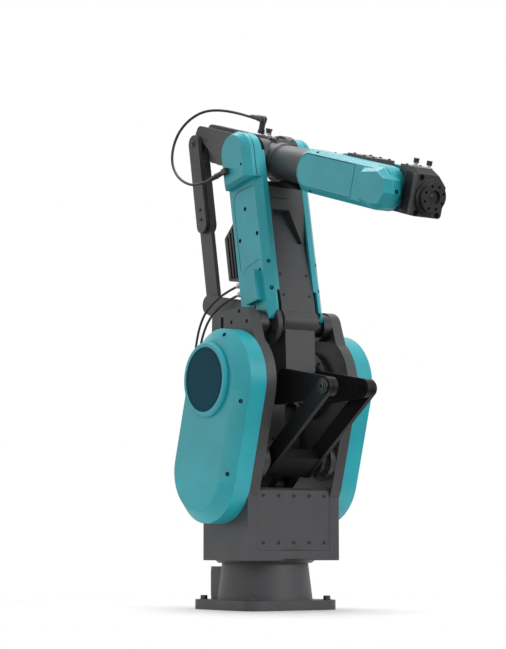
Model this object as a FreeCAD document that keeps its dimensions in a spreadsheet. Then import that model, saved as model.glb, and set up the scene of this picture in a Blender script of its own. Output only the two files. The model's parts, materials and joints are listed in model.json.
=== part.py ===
"""Articulated six-axis robot arm with parallelogram linkages.

Millimetres. +Z is up, +X is the way the forearm reaches, and the near side is -Y.
The origin is the centre of the base's underside, on the first axis.

Every pivot has a frame of its own. A piece is drawn in the frame of the pivot that
carries it, so that a change of one link's length or angle takes the rest along.
Widths across the arm are counted from the middle plane towards the near side.
"""
import FreeCAD, Part
import math
import os
import re

import Sketcher

doc = FreeCAD.newDocument("RobotArm")
sheet = doc.addObject("Spreadsheet::Sheet", "Sizes")

# Sizes: name, value, what it is
SIZES = [
    # fits
    ("run_fit", 0.05, "radial clearance of a running pin"),
    ("open_fit", 0.3, "radial clearance of the pivot that closes a linkage"),
    ("side_gap", 0.4, "side clearance between neighbouring links"),
    # pivots
    ("shoulder_x", 94, "second axis, forward of the first"),
    ("shoulder_z", 638, "second axis, above the floor"),
    ("arm_length", 402.5, "second axis to third axis"),
    ("arm_lean", 10.3, "lower arm leans back, degrees"),
    ("reach", 498, "third axis to fifth axis"),
    ("pitch", 16.6, "forearm dips, degrees"),
    ("flange_reach", 112, "fifth axis to tool flange face"),
    ("rear_x", -239, "elbow lever pin, forward of the third axis"),
    ("rear_z", 67, "elbow lever pin, above the third axis"),
    ("front_x", 215, "front lever pin, forward of the second axis"),
    ("front_z", -153, "front lever pin, above the second axis"),
    ("fork_drop_x", -277, "fork's lower pin, forward of the front pin"),
    ("fork_drop_z", -203, "fork's lower pin, above the front pin"),
    # base
    ("foot_side", 250, "side of the square foot"),
    ("foot_thick", 22, "thickness of the foot"),
    ("foot_corner", 38, "corner radius of the foot"),
    ("bolt_spacing", 200, "spacing of the foot's bolt holes"),
    ("bolt_hole", 5.5, "radius of the foot's bolt holes"),
    ("column_low", 108, "radius of the column at the foot"),
    ("column_top", 98, "radius of the column at its top"),
    ("base_height", 104, "height of the base"),
    ("gear_bore", 72, "radius of the bore for the first axis gear"),
    ("panel_width", 120, "width of the connector panel"),
    ("panel_height", 62, "height of the connector panel"),
    ("panel_thick", 10, "thickness of the connector panel"),
    ("socket_bore", 13, "radius of the capped sockets"),
    ("socket_out", 9, "capped sockets stand out by"),
    ("socket_pitch", 38, "spacing of the sockets"),
    # turntable and side plates
    ("table_gap", 0.4, "running gap under the turntable"),
    ("table_radius", 118, "radius of the turntable"),
    ("table_thick", 28, "thickness of the turntable"),
    ("plate_rear", 64, "rear edge of the side plates' feet"),
    ("plate_inner", 99, "inner face of a side plate"),
    ("plate_outer", 126, "outer face of a side plate"),
    ("pod_outer", 186, "outer face of a pod"),
    ("pod_wall", 5, "wall of a pod cover"),
    ("pod_radius", 118, "radius of the pod's ends"),
    ("pod_top_x", 66, "upper end of the pod"),
    ("pod_top_z", 506, "upper end of the pod"),
    ("pod_low_x", 10, "lower end of the pod"),
    ("pod_low_z", 310, "lower end of the pod"),
    ("pod_bevel_from", 168, "where the pod's bevel starts"),
    ("pod_face_radius", 90, "radius of the pod's outer face"),
    ("pod_face_back", 14, "pod's outer face sits back by"),
    ("ear_radius", 36, "radius of the ear round the second axis"),
    ("ear_back", 6, "ear's middle, behind the second axis"),
    ("ear_root", 100, "radius of the ear's root in the plate"),
    ("ear_rear", 125, "rear end of the ear, behind the second axis"),
    ("ear_rear_top", 29, "top of the ear's rear end, above the second axis"),
    ("ear_rear_round", 12, "radius of the ear's rear corner"),
    ("ear_skin", 5, "wall outside the end of the second axis shaft"),
    ("disc_x", 41, "round lid of the pod"),
    ("disc_z", 511, "round lid of the pod"),
    ("disc_radius", 84, "radius of the round lid"),
    ("disc_face", 72.5, "radius of the lid's inlay"),
    ("disc_edge", 4, "bevel of the lid's rim"),
    ("disc_deep", 1.5, "depth of the lid's inlay"),
    ("disc_thick", 10, "thickness of the round lid"),
    ("gear_clear", 30, "axis gears stay inside the return walls by"),
    ("gear_step", 52, "radius of the gears' inner step"),
    ("gear_inner", 76, "inner face of the axis gears"),
    ("motor_x", 92, "motor axis"),
    ("motor_z", 336, "motor axis"),
    ("motor_radius", 46, "radius of the motor flange"),
    ("motor_inner", 72, "inner face of the motors"),
    ("wall_top", 272, "top of the front wall"),
    ("wall_x", 112, "front wall, forward of the first axis"),
    ("wall_thick", 16, "thickness of the front wall"),
    ("return_inner", 66, "inner end of the side plates' return walls"),
    ("return_thick", 12, "thickness of the return walls"),
    # gear unit of the second axis
    ("unit_radius", 46, "radius of the gear unit"),
    ("unit_inner", 18, "inner face of a half of the gear unit"),
    ("unit_outer", 66, "outer face of a half of the gear unit"),
    ("bracket_outer", 75, "outer face of the gear unit's bracket"),
    ("bracket_x", -48, "foot of the bracket"),
    ("bracket_z", 385, "foot of the bracket"),
    ("bracket_root", 52, "radius of the bracket's foot"),
    ("bracket_low_x", -66, "bracket's lower corner"),
    ("bracket_low_z", 322, "bracket's lower corner"),
    ("bracket_low", 30, "radius of the bracket's lower corner"),
    # second axis
    ("shaft_radius", 22, "radius of the second axis shaft"),
    ("shaft_collar", 31, "radius of the collars beside the arm"),
    ("hub_half", 47, "half width of the arm's hub"),
    ("hub_radius", 34, "radius of the arm's hub"),
    ("nose_x", 24, "round nose of the hub, forward of the second axis"),
    ("nose_radius", 27, "radius of the hub's nose"),
    # lower arm
    ("cast_half", 46.6, "half width of the arm casting"),
    ("cheek_outer", 55, "outer face of the casting's cheeks"),
    ("cheek_radius", 36, "radius of the cheeks round the third axis"),
    ("cast_front", 43, "casting's front face"),
    ("cast_waist", 31, "casting's front face at its waist"),
    ("cast_waist_z", 187, "casting's waist, along the arm"),
    ("cast_back", -46, "casting's rear face"),
    ("pocket_top", 140.5, "top of the front pocket, below the third axis"),
    ("pocket_deep", 22, "bottom of the front pocket, forward of the arm's line"),
    ("seam_drop", 114.5, "top of the casting's seam, below the third axis"),
    ("seam_wide", 1.6, "width of the casting's seam"),
    ("seam_deep", 3, "depth of the casting's seam"),
    ("cover_outer", 76, "outer face of an arm cover"),
    ("cover_wall", 5, "wall of an arm cover"),
    ("cover_radius", 56.5, "radius of the cover's top"),
    ("cover_shift", -13, "cover's middle, forward of the arm's line"),
    ("cover_low", 60, "lower end of the cover's rear edge"),
    ("cover_low_mid", 26, "cover's lower edge above the second axis"),
    ("cover_heel", 29.5, "radius of the cover's lower front corner"),
    ("cover_heel_z", 32, "middle of that corner, above the second axis"),
    ("cover_scoop", 24, "radius of the cover's cut round the second axis"),
    ("cover_strip", 70, "lower end of the cover's front strip"),
    ("cover_bevel", 15, "bevel along the cover's front edge"),
    ("cover_slot", 108, "upper end of the slot for the elbow crank"),
    ("cap_outer", 98, "outer face of an elbow cap"),
    ("cap_radius", 39, "radius of the cap's face"),
    ("cap_drop", 64.5, "lower edge of the cap, below the third axis"),
    ("tail_half", 40.6, "half width of the arm's tail"),
    ("tail_length", 150, "length of the tail below the second axis"),
    ("lever_inner", 40.6, "inner face of a lever plate"),
    ("lever_outer", 53, "outer face of a lever plate"),
    ("lever_tip", 21, "radius of the lever plates round the front pin"),
    ("lever_corner", 14, "radius of the lever plates' rear corners"),
    ("front_pin", 12, "radius of the front pins"),
    ("front_pin_head", 17, "radius of the front pins' heads"),
    ("front_pin_cap", 5, "thickness of the front pins' heads"),
    # fork and crank of the second axis
    ("fork_outer", 64, "outer face of the fork's bars"),
    ("fork_inner", 54, "inner face of the fork's bars"),
    ("fork_eye", 21, "radius of the fork's upper eyes"),
    ("fork_depth", 20, "half depth of the fork's bars"),
    ("fork_web_start", 226, "where the fork's web starts"),
    ("fork_web_end", 292, "where the fork's web ends"),
    ("fork_lug_outer", 36, "outer face of the fork's lower lugs"),
    ("fork_lug", 24, "radius of the fork's lower lugs"),
    ("crank_half", 16, "half width of the crank"),
    ("crank_pin", 11, "radius of the crank's pins"),
    ("crank_hub", 34, "radius of the crank's hub"),
    # elbow linkage
    ("link_pin", 9, "radius of the linkage pins"),
    ("link_eye", 22, "radius of the linkage eyes"),
    ("lever_near", 46.6, "near face of the elbow lever's near plate"),
    ("lever_far", 36.4, "far face of the elbow lever's near plate"),
    ("rod_half", 23, "half depth of the tie rod"),
    ("rod_cheek", 10, "thickness of the tie rod's cheeks"),
    ("rod_cheek_length", 205, "length of the tie rod's cheeks"),
    ("rod_cheek_half", 20, "half depth of the cheeks"),
    ("side_crank_inner", 49.6, "inner face of the elbow crank"),
    ("side_crank_outer", 61.6, "outer face of the elbow crank"),
    ("side_crank_hub", 46, "radius of the elbow crank's hub"),
    # elbow and forearm
    ("elbow_radius", 44, "radius of the elbow's hub"),
    ("elbow_shaft", 20, "radius of the third axis shaft"),
    ("block_near", 16, "near face of the elbow's top block"),
    ("block_far", 40, "far face of the elbow's top block"),
    ("block_top", 48, "top of the elbow's block above the forearm's axis"),
    ("block_rear", 50, "rear face of the elbow's block behind the third axis"),
    ("lever_half", 40, "elbow lever's top edge above the forearm's axis"),
    ("lever_root", 40, "elbow lever's lower edge below the forearm's axis"),
    ("lever_eye", 18, "radius of the elbow lever's eyes"),
    ("lever_cut_x", -155, "lower end of the near plate's diagonal edge"),
    ("lever_cut_z", -29, "lower end of the near plate's diagonal edge"),
    ("beam_top", 48, "top of the elbow lever's beam above the forearm's axis"),
    ("web_rear", -190, "rear end of the elbow lever's web"),
    ("far_lever_near", 20, "near face of the elbow lever's beam"),
    ("far_lever_far", -5, "far face of the elbow lever's beam"),
    ("neck_length", 60, "elbow's neck, from the third axis"),
    ("neck_radius", 42, "radius of the elbow's neck"),
    ("tube_start", 38.5, "radius of the forearm tube at the elbow"),
    ("tube_end", 42.5, "radius of the forearm tube at the covers"),
    ("cover_from", 200, "rear end of the forearm covers"),
    ("fore_radius", 48, "radius of the forearm covers' ends"),
    ("fore_inner", 30, "inner face of the forearm covers"),
    ("fore_side", 62, "where the forearm covers' bevel starts"),
    ("fore_bevel", 10, "bevel of the forearm covers"),
    ("boss_from", 46, "inner end of the forearm covers' boss"),
    ("boss_foot", 68, "where the boss's slope starts"),
    ("fore_outer", 82, "outer face of the boss"),
    ("panel_seam", 80, "seam across the cover's panel, behind the fifth axis"),
    ("panel_seam_wide", 2, "width of that seam"),
    ("panel_seam_deep", 1.2, "depth of that seam"),
    ("spine_back", 76, "forearm's spine ends behind the fifth axis by"),
    ("spine_top", 55, "top of the forearm's spine"),
    ("spine_step", 325, "where the spine's top steps up"),
    # wrist
    ("wrist_half", 29.5, "half width of the wrist between the covers"),
    ("wrist_radius", 44, "radius of the wrist round the fifth axis"),
    ("wrist_pin", 15, "radius of the fifth axis journals"),
    ("head_half", 40, "half width of the wrist's head"),
    ("head_from", 53, "rear face of the wrist's head"),
    ("head_to", 95, "front face of the wrist's head"),
    ("head_top", 57, "top of the wrist's head"),
    ("head_corner", 12, "bevel of the head's front top edge"),
    ("head_cut_across", 5, "head's far top corner is cut from here"),
    ("head_cut_low", 23, "lower end of that cut"),
    ("head_round", 8, "radius of the head's lower corners"),
    ("saddle_from", 20, "rear end of the wrist's top plate"),
    ("boss_radius", 37, "radius of the boss behind the flange"),
    ("boss_to", 103, "front face of the boss"),
    ("flange_radius", 31.5, "radius of the tool flange"),
    ("flange_bore", 15.75, "radius of the tool flange's centring bore"),
    ("flange_bore_deep", 6, "depth of the centring bore"),
    ("flange_pcd", 50, "circle of the tool flange's holes"),
    ("flange_hole", 3, "radius of the tool flange's holes"),
    ("flange_hole_deep", 8, "depth of the tool flange's holes"),
    # connectors
    ("plug_radius", 6, "radius of the cable plugs"),
    ("boot_end", 4.2, "radius of a plug's boot at the cable"),
    ("socket_radius", 7.5, "radius of the round sockets"),
    ("gland_radius", 5.4, "radius of the cable glands"),
    ("gland_length", 16, "length of the cable glands"),
    ("top_plug_x", -43, "angled plug, forward of the third axis"),
    ("top_plug_z", 85.5, "angled plug's boot above the forearm's axis"),
    ("top_plug_across", 8, "angled plug, towards the near side"),
    ("cap_plug_drop", 30.5, "plug on the elbow cap, below the third axis"),
    ("cap_plug_x", -46, "plug on the elbow cap, forward of the arm's line"),
    ("gland_high", 113, "upper gland, along the arm"),
    ("gland_low", 92, "lower gland, along the arm"),
    ("gland_across", 69, "glands, towards the near side"),
    ("inlet_along", 168, "cable inlet, up the rear edge of the near side plate"),
    ("knob_radius", 6, "radius of the round connectors on the wrist"),
    ("knob_height", 16, "height of the round connectors on the wrist"),
    ("knob_foot", 6, "height of the round connectors' feet"),
    ("rear_knob", 33, "rear connector, forward of the fifth axis"),
    ("front_knob", 77, "front connector, forward of the fifth axis"),
    # cables
    ("elbow_cable", 6.4, "diameter of the cable over the elbow"),
    ("side_cable", 5.6, "diameter of the two cables beside the arm"),
]

for row, (alias, value, note) in enumerate(SIZES, start=1):
    sheet.set("A%d" % row, alias)
    sheet.set("B%d" % row, str(value))
    sheet.setAlias("B%d" % row, alias)
    sheet.set("C%d" % row, note)
doc.recompute()

ALIASES = {alias for alias, value, note in SIZES}


def bound(text):
    """An expression in plain names, turned into one that points at the sheet."""
    def name(match):
        word = match.group(0)
        return "Sizes." + word if word in ALIASES else word
    return re.sub(r"[a-z_]+", name, str(text))


def size(text):
    """The value of an expression in plain names."""
    return float(sheet.evalExpression(str(text)))


# Pivot frames: x, z and the turn about +Y in degrees that the frame has
SHOULDER = ("shoulder_x", "shoulder_z", "-arm_lean")
ELBOW_X = "(shoulder_x - arm_length * sin(arm_lean))"
ELBOW_Z = "(shoulder_z + arm_length * cos(arm_lean))"
ELBOW = (ELBOW_X, ELBOW_Z, "pitch")
FRONT_X = "(shoulder_x + front_x)"
FRONT_Z = "(shoulder_z + front_z)"
FORK_TURN = "-atan(fork_drop_z / fork_drop_x)"
FORK_LENGTH = "sqrt(fork_drop_x ^ 2 + fork_drop_z ^ 2)"
FORK = (FRONT_X, FRONT_Z, FORK_TURN)
LEVER = ("shoulder_x", "shoulder_z", "0")
CRANK = ("(shoulder_x + fork_drop_x)", "(shoulder_z + fork_drop_z)", "0")
CAP_LOW = "(arm_length - cap_drop)"
SPINE_END = "(reach - spine_back)"
ROD = ("(%s + rear_x)" % ELBOW_X, "(%s + rear_z)" % ELBOW_Z, "-arm_lean")
WORLD = ("0", "0", "0")


def within(frame, x_text, z_text, across="0"):
    """A frame of the same turn at a point given in another frame."""
    turn = frame[2]
    return ("(%s + (%s) * cos(%s) + (%s) * sin(%s))" % (frame[0], x_text, turn, z_text, turn),
            "(%s - (%s) * sin(%s) + (%s) * cos(%s))" % (frame[1], x_text, turn, z_text, turn),
            turn, across)


class Piece:
    """One body of the model: sketches, pads and cuts in one pivot's frame."""

    def __init__(self, label, frame=WORLD):
        self.body = doc.addObject("PartDesign::Body", label)
        self.body.Label = label
        self.label = label
        self.count = 0
        self.body.Placement = FreeCAD.Placement(
            FreeCAD.Vector(0, 0, 0), FreeCAD.Rotation(FreeCAD.Vector(0, 1, 0), 10))
        self.body.setExpression("Placement.Base.x", bound(frame[0]))
        self.body.setExpression("Placement.Base.z", bound(frame[1]))
        if len(frame) > 3:
            self.body.setExpression("Placement.Base.y", bound("-(%s)" % frame[3]))
        self.body.setExpression("Placement.Rotation.Angle", bound(frame[2]))

    def plane(self, role):
        return [f for f in self.body.Origin.OriginFeatures if f.Role == role][0]

    def sketch(self, role, offset):
        self.count += 1
        made = self.body.newObject("Sketcher::SketchObject", "%s_sketch%d" % (self.label, self.count))
        made.AttachmentSupport = [(self.plane(role), "")]
        made.MapMode = "FlatFace"
        made.setExpression(".AttachmentOffset.Base.z", bound(offset))
        return made

    def feature(self, kind, sketch):
        made = self.body.newObject("PartDesign::" + kind, "%s_%s%d" % (self.label, kind.lower(), self.count))
        made.Profile = sketch
        sketch.Visibility = False
        return made

    def pad(self, outlines, low, high, role="XZ_Plane"):
        """Add the outlines between two distances from the frame's plane."""
        sketch = self.sketch(role, low)
        draw(sketch, outlines)
        made = self.feature("Pad", sketch)
        made.setExpression("Length", bound("(%s) - (%s)" % (high, low)))
        doc.recompute()
        return made

    def cut(self, outlines, low, high, role="XZ_Plane"):
        """Take the outlines away between two distances from the frame's plane."""
        before = self.body.Shape.Volume
        sketch = self.sketch(role, high)
        draw(sketch, outlines)
        made = self.feature("Pocket", sketch)
        made.setExpression("Length", bound("(%s) - (%s)" % (high, low)))
        doc.recompute()
        if not self.body.Shape.Volume < before:
            raise RuntimeError("the cut in %s takes nothing away" % self.label)
        return made

    def turn(self, outline, role="XZ_Plane", axis="H_Axis", kind="Revolution"):
        """A body of revolution, or a groove, about an axis of the sketch."""
        sketch = self.sketch(role, "0")
        draw(sketch, [outline])
        made = self.feature(kind, sketch)
        made.ReferenceAxis = (sketch, [axis])
        made.Angle = 360
        doc.recompute()
        return made

    def loft(self, outline_a, at_a, outline_b, at_b):
        """A skin between two outlines at two distances from the frame's plane."""
        first = self.sketch("XZ_Plane", at_a)
        draw(first, [outline_a])
        second = self.sketch("XZ_Plane", at_b)
        draw(second, [outline_b])
        made = self.feature("AdditiveLoft", first)
        made.Sections = [(second, [""])]
        made.Ruled = True
        doc.recompute()
        return made

    def edges(self, test):
        """Names of the edges whose middle point passes the test."""
        names = []
        for index, edge in enumerate(self.body.Tip.Shape.Edges, start=1):
            middle = edge.valueAt((edge.FirstParameter + edge.LastParameter) / 2)
            if test(middle, edge):
                names.append("Edge%d" % index)
        return names

    def dress(self, kind, names, amount):
        """A fillet or a chamfer on the named edges."""
        if not names:
            raise RuntimeError("no edge for the %s of %s" % (kind, self.label))
        made = self.body.newObject("PartDesign::" + kind, "%s_%s%d" % (self.label, kind.lower(), len(names)))
        made.Base = (self.body.Tip, names)
        made.setExpression("Radius" if kind == "Fillet" else "Size", bound(amount))
        self.body.Tip = made
        doc.recompute()
        return made


def draw(sketch, outlines):
    """Draw closed outlines, each a list of (x, z, radius) corners run anticlockwise."""
    for corners in outlines:
        if len(corners) == 1:
            draw_circle(sketch, corners[0])
        else:
            draw_hull(sketch, corners)
    sketch.solve()


def pin_down(sketch, geometry, position, x_text, z_text, x_value, z_value):
    """Tie one point of the sketch to the sheet."""
    for kind, text, value in (("DistanceX", x_text, x_value), ("DistanceY", z_text, z_value)):
        index = sketch.addConstraint(Sketcher.Constraint(kind, -1, 1, geometry, position, value))
        sketch.setExpression("Constraints[%d]" % index, bound(text))


def draw_circle(sketch, corner):
    x_value, z_value, radius = (size(text) for text in corner)
    centre = FreeCAD.Vector(x_value, z_value, 0)
    geometry = sketch.addGeometry(Part.Circle(centre, FreeCAD.Vector(0, 0, 1), radius), False)
    pin_down(sketch, geometry, 3, corner[0], corner[1], x_value, z_value)
    index = sketch.addConstraint(Sketcher.Constraint("Radius", geometry, radius))
    sketch.setExpression("Constraints[%d]" % index, bound(corner[2]))


def draw_hull(sketch, corners):
    """Straight sides that run tangent to the round corners. A corner of radius 0 is sharp."""
    values = [tuple(size(text) for text in corner) for corner in corners]
    count = len(values)
    normals = []
    for index in range(count):
        x_a, z_a, r_a = values[index]
        x_b, z_b, r_b = values[(index + 1) % count]
        run = math.hypot(x_b - x_a, z_b - z_a)
        normals.append(math.atan2(z_b - z_a, x_b - x_a) - math.acos((r_a - r_b) / run))
    arcs = []
    for index, (x_value, z_value, radius) in enumerate(values):
        if radius == 0:
            arcs.append(None)
            continue
        start = normals[index - 1]
        end = normals[index]
        while end < start:
            end += 2 * math.pi
        centre = FreeCAD.Vector(x_value, z_value, 0)
        circle = Part.Circle(centre, FreeCAD.Vector(0, 0, 1), radius)
        geometry = sketch.addGeometry(Part.ArcOfCircle(circle, start, end), False)
        pin_down(sketch, geometry, 3, corners[index][0], corners[index][1], x_value, z_value)
        constraint = sketch.addConstraint(Sketcher.Constraint("Radius", geometry, radius))
        sketch.setExpression("Constraints[%d]" % constraint, bound(corners[index][2]))
        arcs.append(geometry)
    lines = []
    for index in range(count):
        x_a, z_a, r_a = values[index]
        x_b, z_b, r_b = values[(index + 1) % count]
        out = FreeCAD.Vector(math.cos(normals[index]), math.sin(normals[index]), 0)
        start = FreeCAD.Vector(x_a, z_a, 0) + out * r_a
        end = FreeCAD.Vector(x_b, z_b, 0) + out * r_b
        lines.append(sketch.addGeometry(Part.LineSegment(start, end), False))
    for index in range(count):
        before = lines[index - 1]
        after = lines[index]
        if arcs[index] is None:
            sketch.addConstraint(Sketcher.Constraint("Coincident", before, 2, after, 1))
            pin_down(sketch, after, 1, corners[index][0], corners[index][1],
                     values[index][0], values[index][1])
        else:
            sketch.addConstraint(Sketcher.Constraint("Tangent", before, 2, arcs[index], 1))
            sketch.addConstraint(Sketcher.Constraint("Tangent", arcs[index], 2, after, 1))


def near(low, high):
    """A span across the near side, counted from the middle plane."""
    return low, high


def far(low, high):
    """The same span on the far side."""
    return "-(%s)" % high, "-(%s)" % low


SIDES = (("near", near), ("far", far))

# Base: a square foot, a round column and the connector panel at the rear
base = Piece("base_casting")
half_foot = "(foot_side / 2 - foot_corner)"
base.pad([[("-" + half_foot, "-" + half_foot, "foot_corner"), (half_foot, "-" + half_foot, "foot_corner"),
           (half_foot, half_foot, "foot_corner"), ("-" + half_foot, half_foot, "foot_corner")]],
         "0", "foot_thick", "XY_Plane")
base.turn([("0", "foot_thick - 2", "0"), ("column_low", "foot_thick - 2", "0"),
           ("column_low", "foot_thick", "0"), ("column_top", "base_height", "0"),
           ("0", "base_height", "0")], "XZ_Plane", "V_Axis")
panel_face = "-(column_low + 14)"
base.pad([[(panel_face, "-panel_width / 2 - 6", "0"), ("-60", "-panel_width / 2 - 6", "0"),
           ("-60", "panel_width / 2 + 6", "0"), (panel_face, "panel_width / 2 + 6", "0")]],
         "foot_thick - 1", "foot_thick + panel_height + 12", "XY_Plane")
base.cut([[("0", "0", "gear_bore")]], "base_height - 40", "base_height", "XY_Plane")
half_bolt = "bolt_spacing / 2"
base.cut([[("-" + half_bolt, "-" + half_bolt, "bolt_hole")], [(half_bolt, "-" + half_bolt, "bolt_hole")],
          [(half_bolt, half_bolt, "bolt_hole")], [("-" + half_bolt, half_bolt, "bolt_hole")]],
         "0", "foot_thick", "XY_Plane")

panel = Piece("base_connector_panel")
panel_low = "foot_thick + 6"
panel.pad([[("-panel_width / 2 + 4", panel_low + " + 4", "4"), ("panel_width / 2 - 4", panel_low + " + 4", "4"),
            ("panel_width / 2 - 4", panel_low + " + panel_height - 4", "4"),
            ("-panel_width / 2 + 4", panel_low + " + panel_height - 4", "4")]],
          panel_face + " - panel_thick", panel_face, "YZ_Plane")
panel_mid = "(%s + panel_height / 2)" % panel_low
panel.pad([[("-socket_pitch", panel_mid, "socket_bore")], [("0", panel_mid, "socket_bore")],
           [("socket_pitch", panel_mid, "socket_bore")]],
          panel_face + " - panel_thick - socket_out", panel_face + " - panel_thick", "YZ_Plane")

gear = Piece("first_axis_gear")
gear.turn([("0", "base_height - 40", "0"), ("gear_bore - 1", "base_height - 40", "0"),
           ("gear_bore - 1", "base_height - 4", "0"), ("0", "base_height - 4", "0")], "XZ_Plane", "V_Axis")

# Carousel: the turntable, two side plates and what they carry
table_low = "(base_height + table_gap)"
table_top = "(base_height + table_gap + table_thick)"
table = Piece("turntable")
table.turn([("0", table_low, "0"), ("table_radius - 12", table_low, "0"),
            ("table_radius", table_low + " + 10", "0"), ("table_radius", table_top, "0"),
            ("0", table_top, "0")], "XZ_Plane", "V_Axis")
table.pad([[("-plate_rear", "-plate_outer", "0"), ("wall_x", "-plate_outer", "0"),
            ("wall_x", "plate_outer", "0"), ("-plate_rear", "plate_outer", "0")]],
          table_low + " + 6", table_top, "XY_Plane")

pod_outline = [("pod_low_x", "pod_low_z", "pod_radius"), ("pod_top_x", "pod_top_z", "pod_radius")]
for side, span in SIDES:
    plate = Piece(side + "_side_plate")
    plate.pad([pod_outline], *span("plate_inner", "plate_outer"))
    plate.pad([[("pod_top_x", "pod_top_z", "ear_root"), ("shoulder_x - ear_back", "shoulder_z", "ear_radius"),
                ("shoulder_x - ear_rear + ear_rear_round", "shoulder_z + ear_rear_top - ear_rear_round",
                 "ear_rear_round")]],
              *span("plate_inner", "plate_outer"))
    plate.pad([[("-plate_rear", table_top, "0"), ("wall_x", table_top, "0"),
                ("wall_x", "pod_low_z", "0"), ("-plate_rear", "pod_low_z", "0")]],
              *span("plate_inner", "plate_outer"))
    plate.pad([pod_outline], *span("return_inner", "plate_inner"))
    plate.cut([[("pod_low_x", "pod_low_z", "pod_radius - return_thick"),
                ("pod_top_x", "pod_top_z", "pod_radius - return_thick")]], *span("return_inner", "plate_inner"))
    plate.cut([[("pod_low_x - pod_radius", "pod_low_z - pod_radius", "0"),
                ("pod_top_x + 2 * pod_radius", "pod_low_z - pod_radius", "0"),
                ("pod_top_x + 2 * pod_radius", "pod_top_z + 2 * pod_radius", "0"),
                ("pod_top_x - 16", "pod_top_z + 2 * pod_radius", "0"),
                ("pod_top_x - 70", "pod_top_z - 40", "0"),
                ("pod_low_x - pod_radius", "pod_top_z - 40", "0")]], *span("return_inner", "plate_inner"))
    plate.cut([[("shoulder_x", "shoulder_z", "shaft_radius")]], *span("plate_inner", "plate_outer - ear_skin"))

    pod = Piece(side + "_pod_cover")
    face_outline = [("pod_low_x - pod_face_back", "pod_low_z", "pod_face_radius"),
                    ("pod_top_x - pod_face_back", "pod_top_z", "pod_face_radius")]
    if side == "near":
        pod.pad([pod_outline], "plate_outer", "pod_bevel_from")
        pod.loft(pod_outline, "pod_bevel_from", face_outline, "pod_outer")
        pod.cut([[("pod_low_x", "pod_low_z", "pod_radius - pod_wall"),
                  ("pod_top_x", "pod_top_z", "pod_radius - pod_wall")]], "plate_outer", "pod_bevel_from - pod_wall")
    else:
        pod.pad([pod_outline], "-pod_bevel_from", "-plate_outer")
        pod.loft(face_outline, "-pod_outer", pod_outline, "-pod_bevel_from")
        pod.cut([[("pod_low_x", "pod_low_z", "pod_radius - pod_wall"),
                  ("pod_top_x", "pod_top_z", "pod_radius - pod_wall")]],
                "-(pod_bevel_from - pod_wall)", "-plate_outer")

    lid = Piece(side + "_pod_lid", ("disc_x", "disc_z", "0"))
    way = "-" if side == "near" else ""
    lid.turn([(way + "pod_outer", "0", "0"), (way + "pod_outer", "disc_radius", "0"),
              (way + "(pod_outer + disc_thick - disc_edge)", "disc_radius", "0"),
              (way + "(pod_outer + disc_thick)", "disc_radius - disc_edge", "0"),
              (way + "(pod_outer + disc_thick)", "disc_face", "0"),
              (way + "(pod_outer + disc_thick - disc_deep)", "disc_face", "0"),
              (way + "(pod_outer + disc_thick - disc_deep)", "0", "0")], "YZ_Plane")

    unit = Piece(side + "_axis_gear", ("disc_x", "disc_z", "0"))
    unit.pad([[("0", "0", "pod_radius - return_thick - gear_clear")]], *span("gear_inner + 11", "plate_inner"))
    unit.pad([[("0", "0", "gear_step")]], *span("gear_inner", "gear_inner + 11"))

    motor = Piece(side + "_motor", ("motor_x", "motor_z", "0"))
    motor.pad([[("0", "0", "motor_radius")]], *span("motor_inner + 13", "plate_inner"))
    motor.pad([[("0", "0", "motor_radius - 14")]], *span("motor_inner", "motor_inner + 13"))

    bracket = Piece(side + "_gear_bracket")
    bracket.pad([[("shoulder_x + fork_drop_x", "shoulder_z + fork_drop_z", "unit_radius"),
                  ("bracket_low_x", "bracket_low_z", "bracket_low"),
                  ("bracket_x", "bracket_z", "bracket_root")]], *span("unit_outer", "bracket_outer"))
    bracket.pad([[("bracket_x", "bracket_z", "bracket_root - 6")]], *span("bracket_outer", "plate_inner"))

    half = Piece(side + "_gear_unit", CRANK)
    half.pad([[("0", "0", "unit_radius")]], *span("unit_inner", "unit_outer"))
    half.cut([[("0", "0", "crank_pin + run_fit")]], *span("unit_inner", "unit_outer"))

wall = Piece("front_wall")
wall.pad([[("wall_x - wall_thick", table_top, "0"), ("wall_x", table_top, "0"),
           ("wall_x", "wall_top - 6", "0"), ("wall_x - 6", "wall_top", "0"),
           ("wall_x - wall_thick", "wall_top", "0")]], "-plate_inner", "plate_inner")

shaft = Piece("shoulder_shaft", ("shoulder_x", "shoulder_z", "0"))
shaft.pad([[("0", "0", "shaft_radius")]], "-plate_outer + ear_skin", "plate_outer - ear_skin")
for side, span in SIDES:
    shaft.pad([[("0", "0", "shaft_collar")]], *span("cover_outer + 1", "plate_inner"))

# Lower arm: casting, side covers, elbow caps and the front lever
arm = Piece("arm_casting", SHOULDER)
arm.pad([[("cast_front - 2", "-10", "0"), ("cast_front", "42", "0"), ("cast_waist", "cast_waist_z", "0"),
          ("cast_front", "arm_length - pocket_top", "0"), ("cast_front", "arm_length - 87.5", "0"),
          ("cast_waist", "arm_length - 80.5", "0"), ("12", "arm_length - 64.5", "0"),
          ("0", "arm_length - 56.5", "0"), ("-20", "arm_length - 66.5", "0"),
          ("cast_back", "arm_length - 84.5", "0"), ("cast_back", "40", "0"), ("-20", "-6", "0")]],
        "-cast_half", "cast_half")
arm.cut([[("-42", "cast_waist_z", "0"), ("40", "cast_waist_z", "0"), ("4", "arm_length - pocket_top", "0"),
          ("-42", "arm_length - pocket_top", "0")]], "pocket_deep", "cast_front + 1", "YZ_Plane")
arm.cut([[("-cast_half - 1", "arm_length - seam_drop", "0"), ("0", "arm_length - seam_drop", "0"),
          ("0", "arm_length - seam_drop + seam_wide", "0"),
          ("-cast_half - 1", "arm_length - seam_drop + seam_wide", "0")]],
        "cast_front - seam_deep", "cast_front + 1", "YZ_Plane")
arm.pad([[("0", "0", "hub_radius")]], "-hub_half", "hub_half")
arm.pad([[("nose_x", "2", "nose_radius")]], "-hub_half", "hub_half")
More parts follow.
